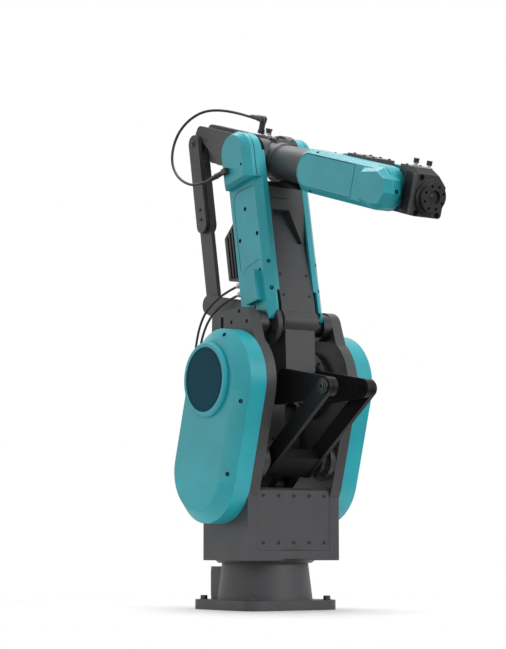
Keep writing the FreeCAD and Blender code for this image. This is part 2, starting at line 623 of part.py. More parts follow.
arm.pad([[("-22", "-tail_length + 12", "12"), ("10", "-tail_length + 12", "12"),
          ("22", "0", "20"), ("0", "0", "20")]], "-tail_half", "tail_half")
for side, span in SIDES:
    arm.pad([[("-14", "240", "30"), ("0", "arm_length", "cheek_radius")]], *span("cast_half", "cheek_outer"))
arm.cut([[("0", "0", "shaft_radius + run_fit")]], "-hub_half", "hub_half")
arm.cut([[("0", "arm_length", "elbow_shaft")]], "-cheek_outer", "cheek_outer")
elbow_shaft = Piece("elbow_shaft", (ELBOW_X, ELBOW_Z, "0"))
elbow_shaft.pad([[("0", "0", "elbow_shaft")]], "-cheek_outer", "cheek_outer")

cover_front = "(cover_shift + cover_radius)"
cover_rear = "(cover_shift - cover_radius)"
for side, span in SIDES:
    cover = Piece(side + "_arm_cover", SHOULDER)
    outline = [(cover_rear, "cover_low", "0"), (cover_front + " - cover_heel", "cover_heel_z", "cover_heel"),
               ("cover_shift", "arm_length", "cover_radius")]
    cover.pad([outline], *span("cheek_outer", "cover_outer"))
    cover.pad([[(cover_front + " - cover_wall - 2", "cover_strip", "0"), (cover_front, "cover_strip", "0"),
                (cover_front, "arm_length", "0"), (cover_front + " - cover_wall - 2", "arm_length", "0")]],
              *span("hub_half + 0.4", "cheek_outer"))
    cover.cut([[(cover_rear + " + cover_wall", "0", "0"), (cover_front + " - cover_bevel - 2", "0", "0"),
                (cover_front + " - cover_bevel - 2", CAP_LOW + " - 60", "0"),
                (cover_rear + " + cover_wall", CAP_LOW + " - 60", "0")]],
              *span("cheek_outer", "cover_outer - cover_wall"))
    cover.cut([[(cover_rear + " - 1", "0", "0"), (cover_rear + " + cover_wall + 1", "0", "0"),
                (cover_rear + " + cover_wall + 1", "cover_slot", "0"), (cover_rear + " - 1", "cover_slot", "0")]],
              *span("cheek_outer", "side_crank_outer + side_gap"))
    cover.cut([[("0", "0", "cover_scoop")]], *span("cheek_outer", "cover_outer"))
    cover.cut([[("0", "0", "side_crank_hub + 1")]], *span("cheek_outer", "side_crank_outer + side_gap"))
    cover.cut([[(cover_rear + " - 6", "-10", "0"), ("8", "-10", "0"),
                ("8", "cover_low_mid - 8 * (cover_low - cover_low_mid) / (cover_radius - cover_shift)", "0"),
                (cover_rear + " - 6", "cover_low + 6 * (cover_low - cover_low_mid) / (cover_radius - cover_shift)",
                 "0")]], *span("cheek_outer", "cover_outer"))
    edge = "-cover_outer" if side == "near" else "cover_outer"
    bevel = [(cover_front, edge, "0"), (cover_front + " - cover_bevel", edge, "0"),
             (cover_front, edge + (" + cover_bevel" if side == "near" else " - cover_bevel"), "0")]
    cover.cut([bevel if side == "far" else bevel[::-1]], "-60", CAP_LOW, "XY_Plane")
    cap = Piece(side + "_elbow_cap", SHOULDER)
    base_outline = [(cover_rear + " + 2", CAP_LOW, "2"), (cover_front + " - 2", CAP_LOW, "2"),
                    ("cover_shift", "arm_length", "cover_radius")]
    face_outline = [("cover_shift - 3 - cap_radius + 2", CAP_LOW + " + 6", "2"),
                    ("cover_shift - 3 + cap_radius - 2", CAP_LOW + " + 6", "2"),
                    ("cover_shift - 3", "arm_length + 10", "cap_radius")]
    if side == "near":
        cap.pad([base_outline], "cover_outer", "cap_outer - 12")
        cap.loft(base_outline, "cap_outer - 12", face_outline, "cap_outer")
    else:
        cap.pad([base_outline], "-(cap_outer - 12)", "-cover_outer")
        cap.loft(face_outline, "-cap_outer", base_outline, "-(cap_outer - 12)")

    lever = Piece(side + "_lever_plate", LEVER)
    lever.pad([[("26", "front_z - 15", "lever_corner"), ("front_x", "front_z", "lever_tip"),
                ("46", "front_z + 37", "lever_corner")]], *span("lever_inner", "lever_outer"))
    lever.cut([[("front_x", "front_z", "front_pin + run_fit")]], *span("lever_inner", "lever_outer"))

for label, span in (("front_lever_pin", near), ("far_front_lever_pin", far)):
    pin = Piece(label, (FRONT_X, FRONT_Z, "0"))
    pin.pad([[("0", "0", "front_pin")]], *span("lever_inner", "fork_outer"))
    pin.pad([[("0", "0", "front_pin_head")]], *span("fork_outer", "fork_outer + front_pin_cap"))

box = Piece("arm_connector_box", SHOULDER)
box.pad([[("-31", "55", "3"), ("9", "55", "3"), ("9", "121", "3"), ("-31", "121", "3")]],
        "cover_outer", "cover_outer + 14")

guard = Piece("harness_guard", SHOULDER)
guard.pad([[("-144", "150", "6"), ("cast_back - 6", "130", "6"), ("cast_back - 6", "304", "6"),
            ("-144", "246", "6")]], "14", "46")

# Fork between the front lever and the crank
fork = Piece("lower_fork", FORK)
along = "-(%s)" % FORK_LENGTH
for side, span in SIDES:
    fork.pad([[("-(fork_web_start + 60)", "0", "fork_depth"), ("0", "0", "fork_eye")]],
             *span("fork_inner", "fork_outer"))
fork.pad([[("-fork_web_end", "-18", "0"), ("-fork_web_start", "-18", "0"), ("-fork_web_start", "8", "0"),
           ("-fork_web_end", "8", "0")]], "-fork_outer", "fork_outer")
for side, span in SIDES:
    fork.pad([[(along, "0", "fork_lug"), ("-fork_web_end + 14", "-4", "14")]],
             *span("crank_half + side_gap", "fork_lug_outer"))
fork.cut([[("0", "0", "front_pin + run_fit")]], "-fork_outer", "fork_outer")
fork.cut([[(along, "0", "crank_pin + open_fit")]], "-fork_outer", "fork_outer")

crank = Piece("shoulder_crank", CRANK)
crank.pad([[("0", "0", "crank_hub"), ("front_x", "front_z", "fork_lug")]], "-crank_half", "crank_half")
crank.pad([[("0", "0", "crank_pin")]], "-unit_outer + 2", "unit_outer - 2")
crank.pad([[("front_x", "front_z", "crank_pin")]], "-fork_lug_outer", "fork_lug_outer")

# Elbow linkage: side crank, tie rod and the elbow's lever
side_crank = Piece("elbow_crank", LEVER)
side_crank.pad([[("0", "0", "side_crank_hub"), ("rear_x", "rear_z", "link_eye")]],
               "side_crank_inner", "side_crank_outer")
side_crank.pad([[("rear_x", "rear_z", "link_eye - 6")]], "lever_near + side_gap", "side_crank_inner")
side_crank.cut([[("0", "0", "shaft_radius + run_fit")]], "side_crank_inner", "side_crank_outer")
side_crank.pad([[("rear_x", "rear_z", "link_pin")]], "lever_far", "side_crank_inner")

rod = Piece("tie_rod_bar", ROD)
rod.pad([[("0", "-arm_length", "rod_half"), ("0", "-60", "rod_half")]], "lever_far", "lever_near")
rod.cut([[("0", "-arm_length", "link_pin + open_fit")]], "lever_far", "lever_near")
for label, low, high in (("tie_rod_near_cheek", "lever_near", "lever_near + rod_cheek"),
                         ("tie_rod_far_cheek", "lever_far - rod_cheek", "lever_far")):
    cheek = Piece(label, ROD)
    cheek.pad([[("0", "-rod_cheek_length", "rod_cheek_half"), ("0", "0", "rod_cheek_half")]], low, high)
    cheek.cut([[("0", "0", "link_pin")]], low, high)
rod_pin = Piece("tie_rod_pin", ROD)
rod_pin.pad([[("0", "0", "link_pin")]], "far_lever_far", "lever_near + rod_cheek")

REAR_IN_X = "(rear_x * cos(pitch) - rear_z * sin(pitch))"
REAR_IN_Z = "(rear_x * sin(pitch) + rear_z * cos(pitch))"
elbow = Piece("elbow_casting", ELBOW)
elbow.pad([[("0", "0", "elbow_radius")]], "-(cast_half - side_gap)", "cast_half - side_gap")
elbow.turn([("0", "0", "0"), ("neck_length", "0", "0"), ("neck_length", "neck_radius", "0"),
            ("0", "neck_radius", "0")])
elbow.pad([[("-block_rear", "20", "0"), ("40", "20", "0"), ("40", "block_top - 8", "0"),
            ("32", "block_top", "0"), ("-block_rear", "block_top", "0")]], "-block_far", "block_near")
elbow.pad([[(REAR_IN_X, REAR_IN_Z, "lever_eye"), (REAR_IN_X + " + 21", REAR_IN_Z + " + 9", "0"),
            ("lever_cut_x", "lever_cut_z", "0"), ("lever_cut_x + 8", "-lever_root", "0"),
            ("0", "-lever_root + 20", "20"), ("0", "lever_half - 15", "15"),
            (REAR_IN_X + " + 5", "lever_half - 15", "15")]], "lever_far + side_gap", "lever_near - side_gap")
elbow.pad([[(REAR_IN_X, REAR_IN_Z, "lever_eye"), ("web_rear - 10", "-lever_root + 14", "14"),
            ("0", "-lever_root + 20", "20"), ("0", "beam_top - 15", "15"),
            (REAR_IN_X + " + 12", "beam_top - 15", "15")]], "far_lever_far", "far_lever_near")
elbow.pad([[("web_rear", "-lever_root", "0"), ("-20", "-lever_root", "0"), ("-20", "lever_half - 8", "0"),
            ("web_rear - 28", "lever_half - 8", "0"), ("web_rear - 28", "0", "0")]],
          "far_lever_near", "lever_far + side_gap")
elbow.cut([[(REAR_IN_X, REAR_IN_Z, "link_pin + run_fit")]], "far_lever_far", "lever_near")
elbow.cut([[("0", "0", "elbow_shaft + run_fit")]], "-cast_half", "cast_half")

# Forearm: tube, two side covers and the plates between them
tube = Piece("forearm_tube", ELBOW)
tube.turn([("neck_length + side_gap", "0", "0"), (SPINE_END, "0", "0"), (SPINE_END, "fore_inner - 3", "0"),
           ("cover_from + 50", "fore_inner - 3", "0"), ("cover_from + 30", "tube_end", "0"),
           ("cover_from - 30", "tube_end", "0"), ("neck_length + side_gap", "tube_start", "0")])
tube.pad([[("cover_from + 54", "-fore_inner + 3", "0"), (SPINE_END, "-fore_inner + 3", "0"),
           (SPINE_END, "fore_inner - 3", "0"), ("cover_from + 54", "fore_inner - 3", "0")]],
         "-fore_inner", "fore_inner")


def round_the_wrist(corners):
    """Sharp corners given from the fifth axis, turned into ones of the forearm's frame."""
    return [("reach + (%s)" % x_value, str(z_value), "0") for x_value, z_value in corners]


BOSS_FOOT = round_the_wrist([(-50, -38), (4, -46), (40, -38), (57, -6), (50, 22), (16, 43), (-46, 39), (-60, 4)])
BOSS_FACE = round_the_wrist([(-37, -30), (5, -36), (30, -33), (46, -7), (35, 22), (11, 33), (-42, 25), (-48, 0)])
fore_outline = [("cover_from + fore_radius", "0", "fore_radius"), ("reach", "0", "fore_radius")]
panel_outline = [("cover_from + fore_radius", "0", "fore_radius - fore_bevel"),
                 ("reach", "0", "fore_radius - fore_bevel")]
for side, span in SIDES:
    fore = Piece(side + "_forearm_cover", ELBOW)
    fore.pad([fore_outline], *span("fore_inner", "fore_side"))
    fore.pad([BOSS_FOOT], *span("boss_from", "boss_foot"))
    if side == "near":
        fore.loft(fore_outline, "fore_side", panel_outline, "fore_side + fore_bevel")
        fore.loft(BOSS_FOOT, "boss_foot", BOSS_FACE, "fore_outer")
    else:
        fore.loft(panel_outline, "-(fore_side + fore_bevel)", fore_outline, "-fore_side")
        fore.loft(BOSS_FACE, "-fore_outer", BOSS_FOOT, "-boss_foot")
    fore.cut([[("reach - panel_seam", "-fore_radius", "0"), ("reach - panel_seam + panel_seam_wide", "-fore_radius", "0"),
               ("reach - panel_seam + panel_seam_wide", "fore_radius", "0"), ("reach - panel_seam", "fore_radius", "0")]],
             *span("fore_side + fore_bevel - panel_seam_deep", "fore_side + fore_bevel"))
    fore.cut([[("cover_from - 10", "-tube_end - 1", "0"), ("cover_from + 52", "-tube_end - 1", "0"),
               ("cover_from + 52", "tube_end + 1", "0"), ("cover_from - 10", "tube_end + 1", "0")]],
             *span("fore_inner", "tube_end + 1"))
    fore.cut([[("reach", "0", "wrist_pin + run_fit")]], *span("fore_inner", "fore_inner + 22"))

spine = Piece("forearm_spine", ELBOW)
spine.pad([[("cover_from + 60", "fore_inner - 3", "0"), (SPINE_END, "fore_inner - 3", "0"),
            (SPINE_END, "spine_top", "0"), ("spine_step + 6", "spine_top", "0"),
            ("spine_step", "fore_radius - 2", "0"), ("cover_from + 60", "fore_radius - 2", "0")]],
          "-fore_inner", "fore_inner")

# Wrist: the block between the covers, its head, and the tool flange
WRIST = ("(%s + reach * cos(pitch))" % ELBOW_X, "(%s - reach * sin(pitch))" % ELBOW_Z, "pitch")
wrist = Piece("wrist_block", WRIST)
wrist.pad([[("0", "0", "wrist_radius"), ("head_from", "0", "wrist_radius")]], "-wrist_half", "wrist_half")
wrist.pad([[("saddle_from", "wrist_radius - 12", "0"), ("head_from + 1", "wrist_radius - 12", "0"),
            ("head_from + 1", "head_top", "0"), ("saddle_from", "head_top", "0")]], "-wrist_half", "wrist_half")
wrist.pad([[("-head_half + head_round", "-wrist_radius + head_round", "head_round"),
            ("head_half - head_round", "-wrist_radius + head_round", "head_round"),
            ("head_half", "head_cut_low", "0"), ("head_cut_across", "head_top", "0"),
            ("-head_half", "head_top", "0")]], "head_from", "head_to", "YZ_Plane")
wrist.cut([[("head_to - head_corner", "head_top", "0"), ("head_to", "head_top - head_corner", "0"),
            ("head_to + 1", "head_top - head_corner", "0"), ("head_to + 1", "head_top + 1", "0"),
            ("head_to - head_corner", "head_top + 1", "0")]], "-head_half", "head_half")
wrist.pad([[("0", "0", "wrist_pin")]], "-(fore_inner + 20)", "fore_inner + 20")
wrist.turn([("head_to - 4", "0", "0"), ("boss_to", "0", "0"), ("boss_to", "boss_radius", "0"),
            ("head_to - 4", "boss_radius", "0")])

flange = Piece("tool_flange", WRIST)
flange.turn([("boss_to + side_gap", "0", "0"), ("flange_reach", "0", "0"),
             ("flange_reach", "flange_radius", "0"), ("boss_to + side_gap", "flange_radius", "0")])

flange.turn([("flange_reach - flange_bore_deep", "0", "0"), ("flange_reach", "0", "0"),
             ("flange_reach", "flange_bore", "0"), ("flange_reach - flange_bore_deep", "flange_bore", "0")],
            kind="Groove")
holes = []
for number in range(8):
    angle = "(%d * 45 + 22.5)" % number
    holes.append([("flange_pcd / 2 * cos(%s)" % angle, "flange_pcd / 2 * sin(%s)" % angle, "flange_hole")])
flange.cut(holes, "flange_reach - flange_hole_deep", "flange_reach", "YZ_Plane")

for label, along_wrist in (("wrist_connector_rear", "rear_knob"), ("wrist_connector_front", "front_knob")):
    knob = Piece(label, within(WRIST, along_wrist, "head_top"))
    knob.pad([[("0", "0", "knob_radius - 2")]], "0", "knob_foot", "XY_Plane")
    knob.pad([[("0", "0", "knob_radius")]], "knob_foot", "knob_height", "XY_Plane")

# Plugs, sockets and glands
top_plug = Piece("top_cable_plug", within(ELBOW, "top_plug_x", "top_plug_z", "top_plug_across"))
top_plug.pad([[("0", "0", "socket_radius")]], "block_top - top_plug_z", "block_top - top_plug_z + 12", "XY_Plane")
top_plug.pad([[("0", "0", "plug_radius")]], "block_top - top_plug_z + 12", "0", "XY_Plane")
top_plug.turn([("-52", "0", "0"), ("7", "0", "0"), ("7", "plug_radius", "0"), ("-24", "plug_radius", "0"),
               ("-52", "boot_end", "0")])
top_socket = Piece("top_socket", within(ELBOW, "top_plug_x + 22", "block_top", "top_plug_across - 6"))
top_socket.pad([[("0", "0", "socket_radius")]], "0", "8", "XY_Plane")
top_socket.pad([[("0", "0", "socket_radius - 2")]], "8", "18", "XY_Plane")

cap_plug = Piece("cap_cable_plug", within(SHOULDER, "cap_plug_x", "arm_length - cap_plug_drop", "cap_outer + 7"))
cap_plug.pad([[("0", "-6", "0"), ("15", "-6", "0"), ("15", "6", "0"), ("0", "6", "0")]], "-7", "6")
cap_plug.turn([("-58", "0", "0"), ("1", "0", "0"), ("1", "plug_radius", "0"), ("-26", "plug_radius", "0"),
               ("-58", "boot_end", "0")])

for label, along_arm in (("upper_cable_gland", "gland_high"), ("lower_cable_gland", "gland_low")):
    gland = Piece(label, within(SHOULDER, cover_rear, along_arm, "gland_across"))
    gland.turn([("-gland_length", "0", "0"), ("0", "0", "0"), ("0", "gland_radius", "0"),
                ("-gland_length", "gland_radius", "0")])

POD = ("pod_low_x", "pod_low_z", "atan((pod_top_x - pod_low_x) / (pod_top_z - pod_low_z))")
inlet = Piece("side_cable_inlet", within(POD, "-pod_radius", "inlet_along", "(plate_inner + plate_outer) / 2"))
inlet.pad([[("-24", "-12", "0"), ("0", "-12", "0"), ("0", "12", "0"), ("-24", "12", "0")]], "-11", "11")

# Cables: straight runs joined by tangent arcs through chosen points
CABLES = [
    ("elbow_cable_run", "elbow_cable",
     [(-50.0, -8.0, 1143.5), (-94.0, -15.0, 1160.0), (-139.9, -34.0, 1172.0), (-180.2, -50.0, 1174.0),
      (-217.5, -64.0, 1160.9), (-246.7, -77.0, 1133.9), (-260.6, -86.0, 1096.2), (-255.5, -93.0, 1055.7),
      (-226.0, -99.0, 1021.0), (-184.0, -103.0, 996.0), (-134.0, -105.0, 981.0), (-76.0, -105.0, 985.0)]),
    ("upper_side_cable", "side_cable",
     [(-10.4, -69.0, 733.9), (-47.0, -69.0, 727.2), (-84.0, -79.0, 709.0), (-114.0, -88.0, 684.0),
      (-130.0, -95.0, 648.0), (-136.0, -101.0, 602.0), (-132.0, -108.0, 556.0), (-115.7, -112.5, 514.3),
      (-82.1, -112.5, 504.7)]),
    ("lower_side_cable", "side_cable",
     [(-6.7, -69.0, 713.2), (-38.0, -69.0, 707.5), (-68.0, -80.0, 692.0), (-92.0, -91.0, 667.0),
      (-106.0, -100.0, 632.0), (-112.0, -106.0, 592.0), (-112.0, -111.0, 552.0), (-106.0, -112.5, 524.1),
      (-78.8, -112.5, 516.2)]),
]


def cable_path(points):
    """Runs and arcs through the points, and the arcs' radii."""
    corners = [FreeCAD.Vector(*point) for point in points]
    edges = []
    radii = []
    start = corners[0]
    for index in range(1, len(corners) - 1):
        here = corners[index]
        back = corners[index - 1] - here
        on = corners[index + 1] - here
        half_turn = (math.pi - back.getAngle(on)) / 2
        reach = 0.45 * min(back.Length, on.Length)
        radii.append(reach / math.tan(half_turn))
        back.normalize()
        on.normalize()
        first = here + back * reach
        last = here + on * reach
        bisector = back + on
        bisector.normalize()
        centre = here + bisector * (radii[-1] / math.cos(half_turn))
        middle = centre - bisector * radii[-1]
        edges.append(Part.LineSegment(start, first).toShape())
        edges.append(Part.Arc(first, middle, last).toShape())
        start = last
    edges.append(Part.LineSegment(start, corners[-1]).toShape())
    return Part.Wire(edges), radii


def cable(label, thickness, points):
    """A cable along its path, six-sided with the corners on the round jacket."""
    path, radii = cable_path(points)
    radius = size(thickness) / 2
    tangent = path.Edges[0].tangentAt(path.Edges[0].FirstParameter)
    across = tangent.cross(FreeCAD.Vector(0, 0, 1)).normalize()
    up = across.cross(tangent)
    corners = [FreeCAD.Vector(*points[0]) + (across * math.cos(turn) + up * math.sin(turn)) * radius
               for turn in [math.radians(60 * number) for number in range(6)]]
    profile = Part.makePolygon(corners + corners[:1])
    made = doc.addObject("Part::Feature", label)
    made.Label = label
    made.Shape = path.makePipeShell([profile], True, False)
    wanted = 1.5 * math.sqrt(3) * radius ** 2 * path.Length
    if abs(made.Shape.Volume / wanted - 1) > 0.01:
        raise RuntimeError("%s has the wrong volume" % label)
    print("%s: length %.1f, radii %s" % (label, path.Length, [round(value, 1) for value in radii]))
    return made


cables = [cable(*item) for item in CABLES]

doc.recompute()

failed = [made.Label for made in doc.Objects if "Invalid" in made.State or "Error" in made.State]
if failed:
    raise RuntimeError("these objects failed: " + ", ".join(failed))

bodies = [made for made in doc.Objects if made.TypeId == "PartDesign::Body"] + cables
for made in bodies:
    if made.Shape.isNull() or not made.Shape.isValid():
        raise RuntimeError("no valid shape: " + made.Label)
    if len(made.Shape.Solids) != 1:
        raise RuntimeError("%s has %d solids" % (made.Label, len(made.Shape.Solids)))

os.makedirs("parts", exist_ok=True)
for made in bodies:
    made.Shape.exportStep("parts/%s.step" % made.Label)
print(len(bodies), "pieces")
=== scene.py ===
"""Looks of the articulated robot arm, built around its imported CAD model.

The frame is in metres: +Z up, +X the way the forearm reaches, near side -Y. Sizes and places of details
are in millimetres, in the frame of the body that they sit on. Across counts towards the near side.
"""
import json
import math

import bpy
from mathutils import Matrix, Vector


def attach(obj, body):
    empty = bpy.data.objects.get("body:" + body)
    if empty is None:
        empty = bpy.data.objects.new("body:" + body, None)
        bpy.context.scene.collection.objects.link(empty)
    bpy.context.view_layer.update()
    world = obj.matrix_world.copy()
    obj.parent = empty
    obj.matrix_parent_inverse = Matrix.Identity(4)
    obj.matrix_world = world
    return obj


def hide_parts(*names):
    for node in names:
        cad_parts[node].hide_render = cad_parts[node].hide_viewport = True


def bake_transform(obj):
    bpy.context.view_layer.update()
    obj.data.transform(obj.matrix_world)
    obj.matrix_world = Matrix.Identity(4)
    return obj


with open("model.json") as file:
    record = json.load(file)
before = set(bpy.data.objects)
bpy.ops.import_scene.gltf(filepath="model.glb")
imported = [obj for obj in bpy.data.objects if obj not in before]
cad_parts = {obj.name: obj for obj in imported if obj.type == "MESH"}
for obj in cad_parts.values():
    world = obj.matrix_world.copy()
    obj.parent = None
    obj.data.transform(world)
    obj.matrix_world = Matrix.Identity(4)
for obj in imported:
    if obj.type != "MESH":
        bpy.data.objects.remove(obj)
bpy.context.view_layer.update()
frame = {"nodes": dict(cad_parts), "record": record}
NODES = frame["nodes"]
MM = 0.001

# Pivots and directions that the CAD model has
LEAN = math.radians(10.3)
PITCH = math.radians(16.6)
SHOULDER_AT = Vector((0.094, 0, 0.638))
ARM_LENGTH = 402.5
ELBOW_AT = SHOULDER_AT + ARM_LENGTH * MM * Vector((-math.sin(LEAN), 0, math.cos(LEAN)))
REACH = 0.498
REAR_PIN_FROM_ELBOW = Vector((-0.239, 0, 0.067))
FRONT_PIN = (309, 485)
FORK_DROP = (-277, -203)
POD_LOW = (10, 310)
POD_TOP = (66, 506)


def turned(at, pitch):
    """A frame at a point, turned about +Y so that its +X dips by the pitch."""
    return Matrix.Translation(at) @ Matrix.Rotation(pitch, 4, "Y")


def place(axes, x, across, z):
    """A point in one of the frames."""
    return axes @ Vector((x * MM, -across * MM, z * MM))


def heading(axes, x, across, z):
    """A direction in one of the frames."""
    return axes.to_3x3() @ Vector((x, -across, z))


WORLD = Matrix.Identity(4)
POD = turned(place(WORLD, POD_LOW[0], 0, POD_LOW[1]),
             math.atan2(POD_TOP[0] - POD_LOW[0], POD_TOP[1] - POD_LOW[1]))
SHOULDER = turned(SHOULDER_AT, 0)
ARM = turned(SHOULDER_AT, -LEAN)
ROD = turned(ELBOW_AT + REAR_PIN_FROM_ELBOW, -LEAN)
FORK = turned(place(WORLD, FRONT_PIN[0], 0, FRONT_PIN[1]), math.atan2(-FORK_DROP[1], FORK_DROP[0]))
ELBOW = turned(ELBOW_AT, PITCH)
WRIST = ELBOW @ Matrix.Translation((REACH, 0, 0))

NEAR = Vector((0, -1, 0))
FAR = Vector((0, 1, 0))
UP = Vector((0, 0, 1))
FORWARD = Vector((1, 0, 0))
REARWARD = Vector((-1, 0, 0))
ARM_FORWARD = heading(ARM, 1, 0, 0)
ARM_REARWARD = heading(ARM, -1, 0, 0)
ELBOW_UP = heading(ELBOW, 0, 0, 1)
ELBOW_FORWARD = heading(ELBOW, 1, 0, 0)
ELBOW_REARWARD = heading(ELBOW, -1, 0, 0)
WRIST_UP = heading(WRIST, 0, 0, 1)
WRIST_FORWARD = heading(WRIST, 1, 0, 0)
SIDES = (("near", 1), ("far", -1))

# Materials
MOTTLE_SCALE = 14.0
MOTTLE_FROM = 0.3
MOTTLE_TO = 0.7
GLOSS_SWING = 0.06
GRAIN_DEPTH = 0.0001


def noise(tree, spot, scale, detail):
    """A noise texture at a socket's coordinates."""
    made = tree.nodes.new("ShaderNodeTexNoise")
    made.inputs["Scale"].default_value = scale
    made.inputs["Detail"].default_value = detail
    tree.links.new(spot, made.inputs["Vector"])
    return made.outputs["Fac"]


def mapped(tree, value, from_span, to_span, kind="LINEAR"):
    """A socket's value, brought from one span to another."""
    made = tree.nodes.new("ShaderNodeMapRange")
    made.interpolation_type = kind
    made.inputs["From Min"].default_value = from_span[0]
    made.inputs["From Max"].default_value = from_span[1]
    made.inputs["To Min"].default_value = to_span[0]
    made.inputs["To Max"].default_value = to_span[1]
    tree.links.new(value, made.inputs["Value"])
    return made.outputs["Result"]


def shader(name, colour, roughness, grain, bump, metallic=0.0, shade=0.08, shine=0.5):
    """A painted, moulded or machined surface: mottled colour, uneven gloss and a fine grain."""
    made = bpy.data.materials.new(name)
    made.use_nodes = True
    tree = made.node_tree
    surface = tree.nodes["Principled BSDF"]
    surface.inputs["Metallic"].default_value = metallic
    surface.inputs["Specular IOR Level"].default_value = shine
    spot = tree.nodes.new("ShaderNodeTexCoord").outputs["Object"]

    ramp = tree.nodes.new("ShaderNodeValToRGB")
    dark, light = ramp.color_ramp.elements
    dark.position = MOTTLE_FROM
    light.position = MOTTLE_TO
    dark.color = [c * (1 - shade) for c in colour] + [1]
    light.color = [min(1, c * (1 + shade)) for c in colour] + [1]
    tree.links.new(noise(tree, spot, MOTTLE_SCALE, 6.0), ramp.inputs["Fac"])
    tree.links.new(ramp.outputs["Color"], surface.inputs["Base Color"])

    fine = noise(tree, spot, grain, 3.0)
    gloss = mapped(tree, fine, (0.0, 1.0), (roughness - GLOSS_SWING, roughness + GLOSS_SWING))
    tree.links.new(gloss, surface.inputs["Roughness"])
    relief = tree.nodes.new("ShaderNodeBump")
    relief.inputs["Strength"].default_value = bump
    relief.inputs["Distance"].default_value = GRAIN_DEPTH
    tree.links.new(fine, relief.inputs["Height"])
    tree.links.new(relief.outputs["Normal"], surface.inputs["Normal"])
    return made


CAST_GREY = (0.042, 0.043, 0.046)
LOOKS = {
    "teal_cover": shader("teal_paint", (0.018, 0.37, 0.43), 0.36, grain=1300, bump=0.25),
    "dark_casting": shader("dark_powder_coat", CAST_GREY, 0.46, grain=1100, bump=0.5, shade=0.12),
    "base_iron": shader("base_powder_coat", CAST_GREY, 0.5, grain=900, bump=0.6, shade=0.12),
    "black_link": shader("black_anodised", (0.008, 0.008, 0.009), 0.42, grain=1500, bump=0.3, shine=0.2),
    "gear_housing": shader("black_housing", (0.022, 0.022, 0.024), 0.4, grain=1500, bump=0.3),
    "shaft_steel": shader("black_steel", (0.06, 0.06, 0.065), 0.3, metallic=0.9, grain=2200, bump=0.2),
    "flange_steel": shader("flange_coat", (0.028, 0.028, 0.031), 0.36, metallic=0.3, grain=2000, bump=0.2),
    "bright_connector": shader("nickel", (0.62, 0.62, 0.64), 0.24, metallic=1.0, grain=2400, bump=0.15),
    "black_plastic": shader("black_moulding", (0.02, 0.02, 0.022), 0.4, grain=1500, bump=0.3),
    "cable_rubber": shader("cable_jacket", (0.016, 0.016, 0.017), 0.45, grain=1800, bump=0.35),
}
# Painted shade: the wrist block's grey is a darker copy of the casting grey, standing for the shade on the
# head's sides
WRIST_SHADED_CASTING = shader("wrist_shaded_casting", (0.026, 0.026, 0.028), 0.4, grain=1500, bump=0.3)
# Painted shade: near-black with little gloss, for holes, slots and the screws in them, where the dark is
# the shade inside the recess
PAINTED_HOLE_SHADE = shader("hole_shade", (0.003, 0.003, 0.003), 0.6, grain=1500, bump=0.1, shine=0.05)
# Dark teal with little gloss: the lid's inlay has this colour of its own; on the cap groove and the cover
# and forearm seams it is painted shade of the gaps
INLAY_AND_GAP_SHADE = shader("dark_teal_inlay_and_gap_shade", (0.003, 0.055, 0.085), 0.45, grain=1300, bump=0.2, shine=0.06)

# Softened edges: the rounding of each kind of CAD node, and the angles from which edges are rounded
WELD_REACH = 0.00002
NODE_EDGE = math.radians(32)
PIECE_EDGE = math.radians(40)
PIECE_SHARP = math.radians(35)
SOFT_EDGE = {"teal_cover": 1.6, "dark_casting": 1.0, "base_iron": 1.5, "black_link": 1.0,
             "gear_housing": 0.8, "bright_connector": 0.4, "black_plastic": 0.8, "flange_steel": 0.5,
             "shaft_steel": 0.6}


def add_bevel(made, width, angle):
    """Two-step rounding of the edges that are sharper than an angle."""
    bevel = made.modifiers.new("round", "BEVEL")
    bevel.width = width * MM
    bevel.segments = 2
    bevel.limit_method = "ANGLE"
    bevel.angle_limit = angle
    return bevel


def soften(node, width):
    """Round a CAD node's sharp edges for the render."""
    made = NODES[node]
    weld = made.modifiers.new("weld", "WELD")
    weld.merge_threshold = WELD_REACH
    bevel = add_bevel(made, width, NODE_EDGE)
    bevel.use_clamp_overlap = True
    bevel.harden_normals = False
    even = made.modifiers.new("even", "WEIGHTED_NORMAL")
    even.keep_sharp = False
    even.weight = 80


for entry in frame["record"]["subparts"]:
    node, chosen = entry["node"], entry["material_slot"]
    NODES[node].data.materials.clear()
    NODES[node].data.materials.append(LOOKS[chosen])
    if chosen in SOFT_EDGE:
        soften(node, SOFT_EDGE[chosen])
# The wrist block takes the darker copy of the casting grey, which is painted shade
NODES["wrist_block"].data.materials[0] = WRIST_SHADED_CASTING


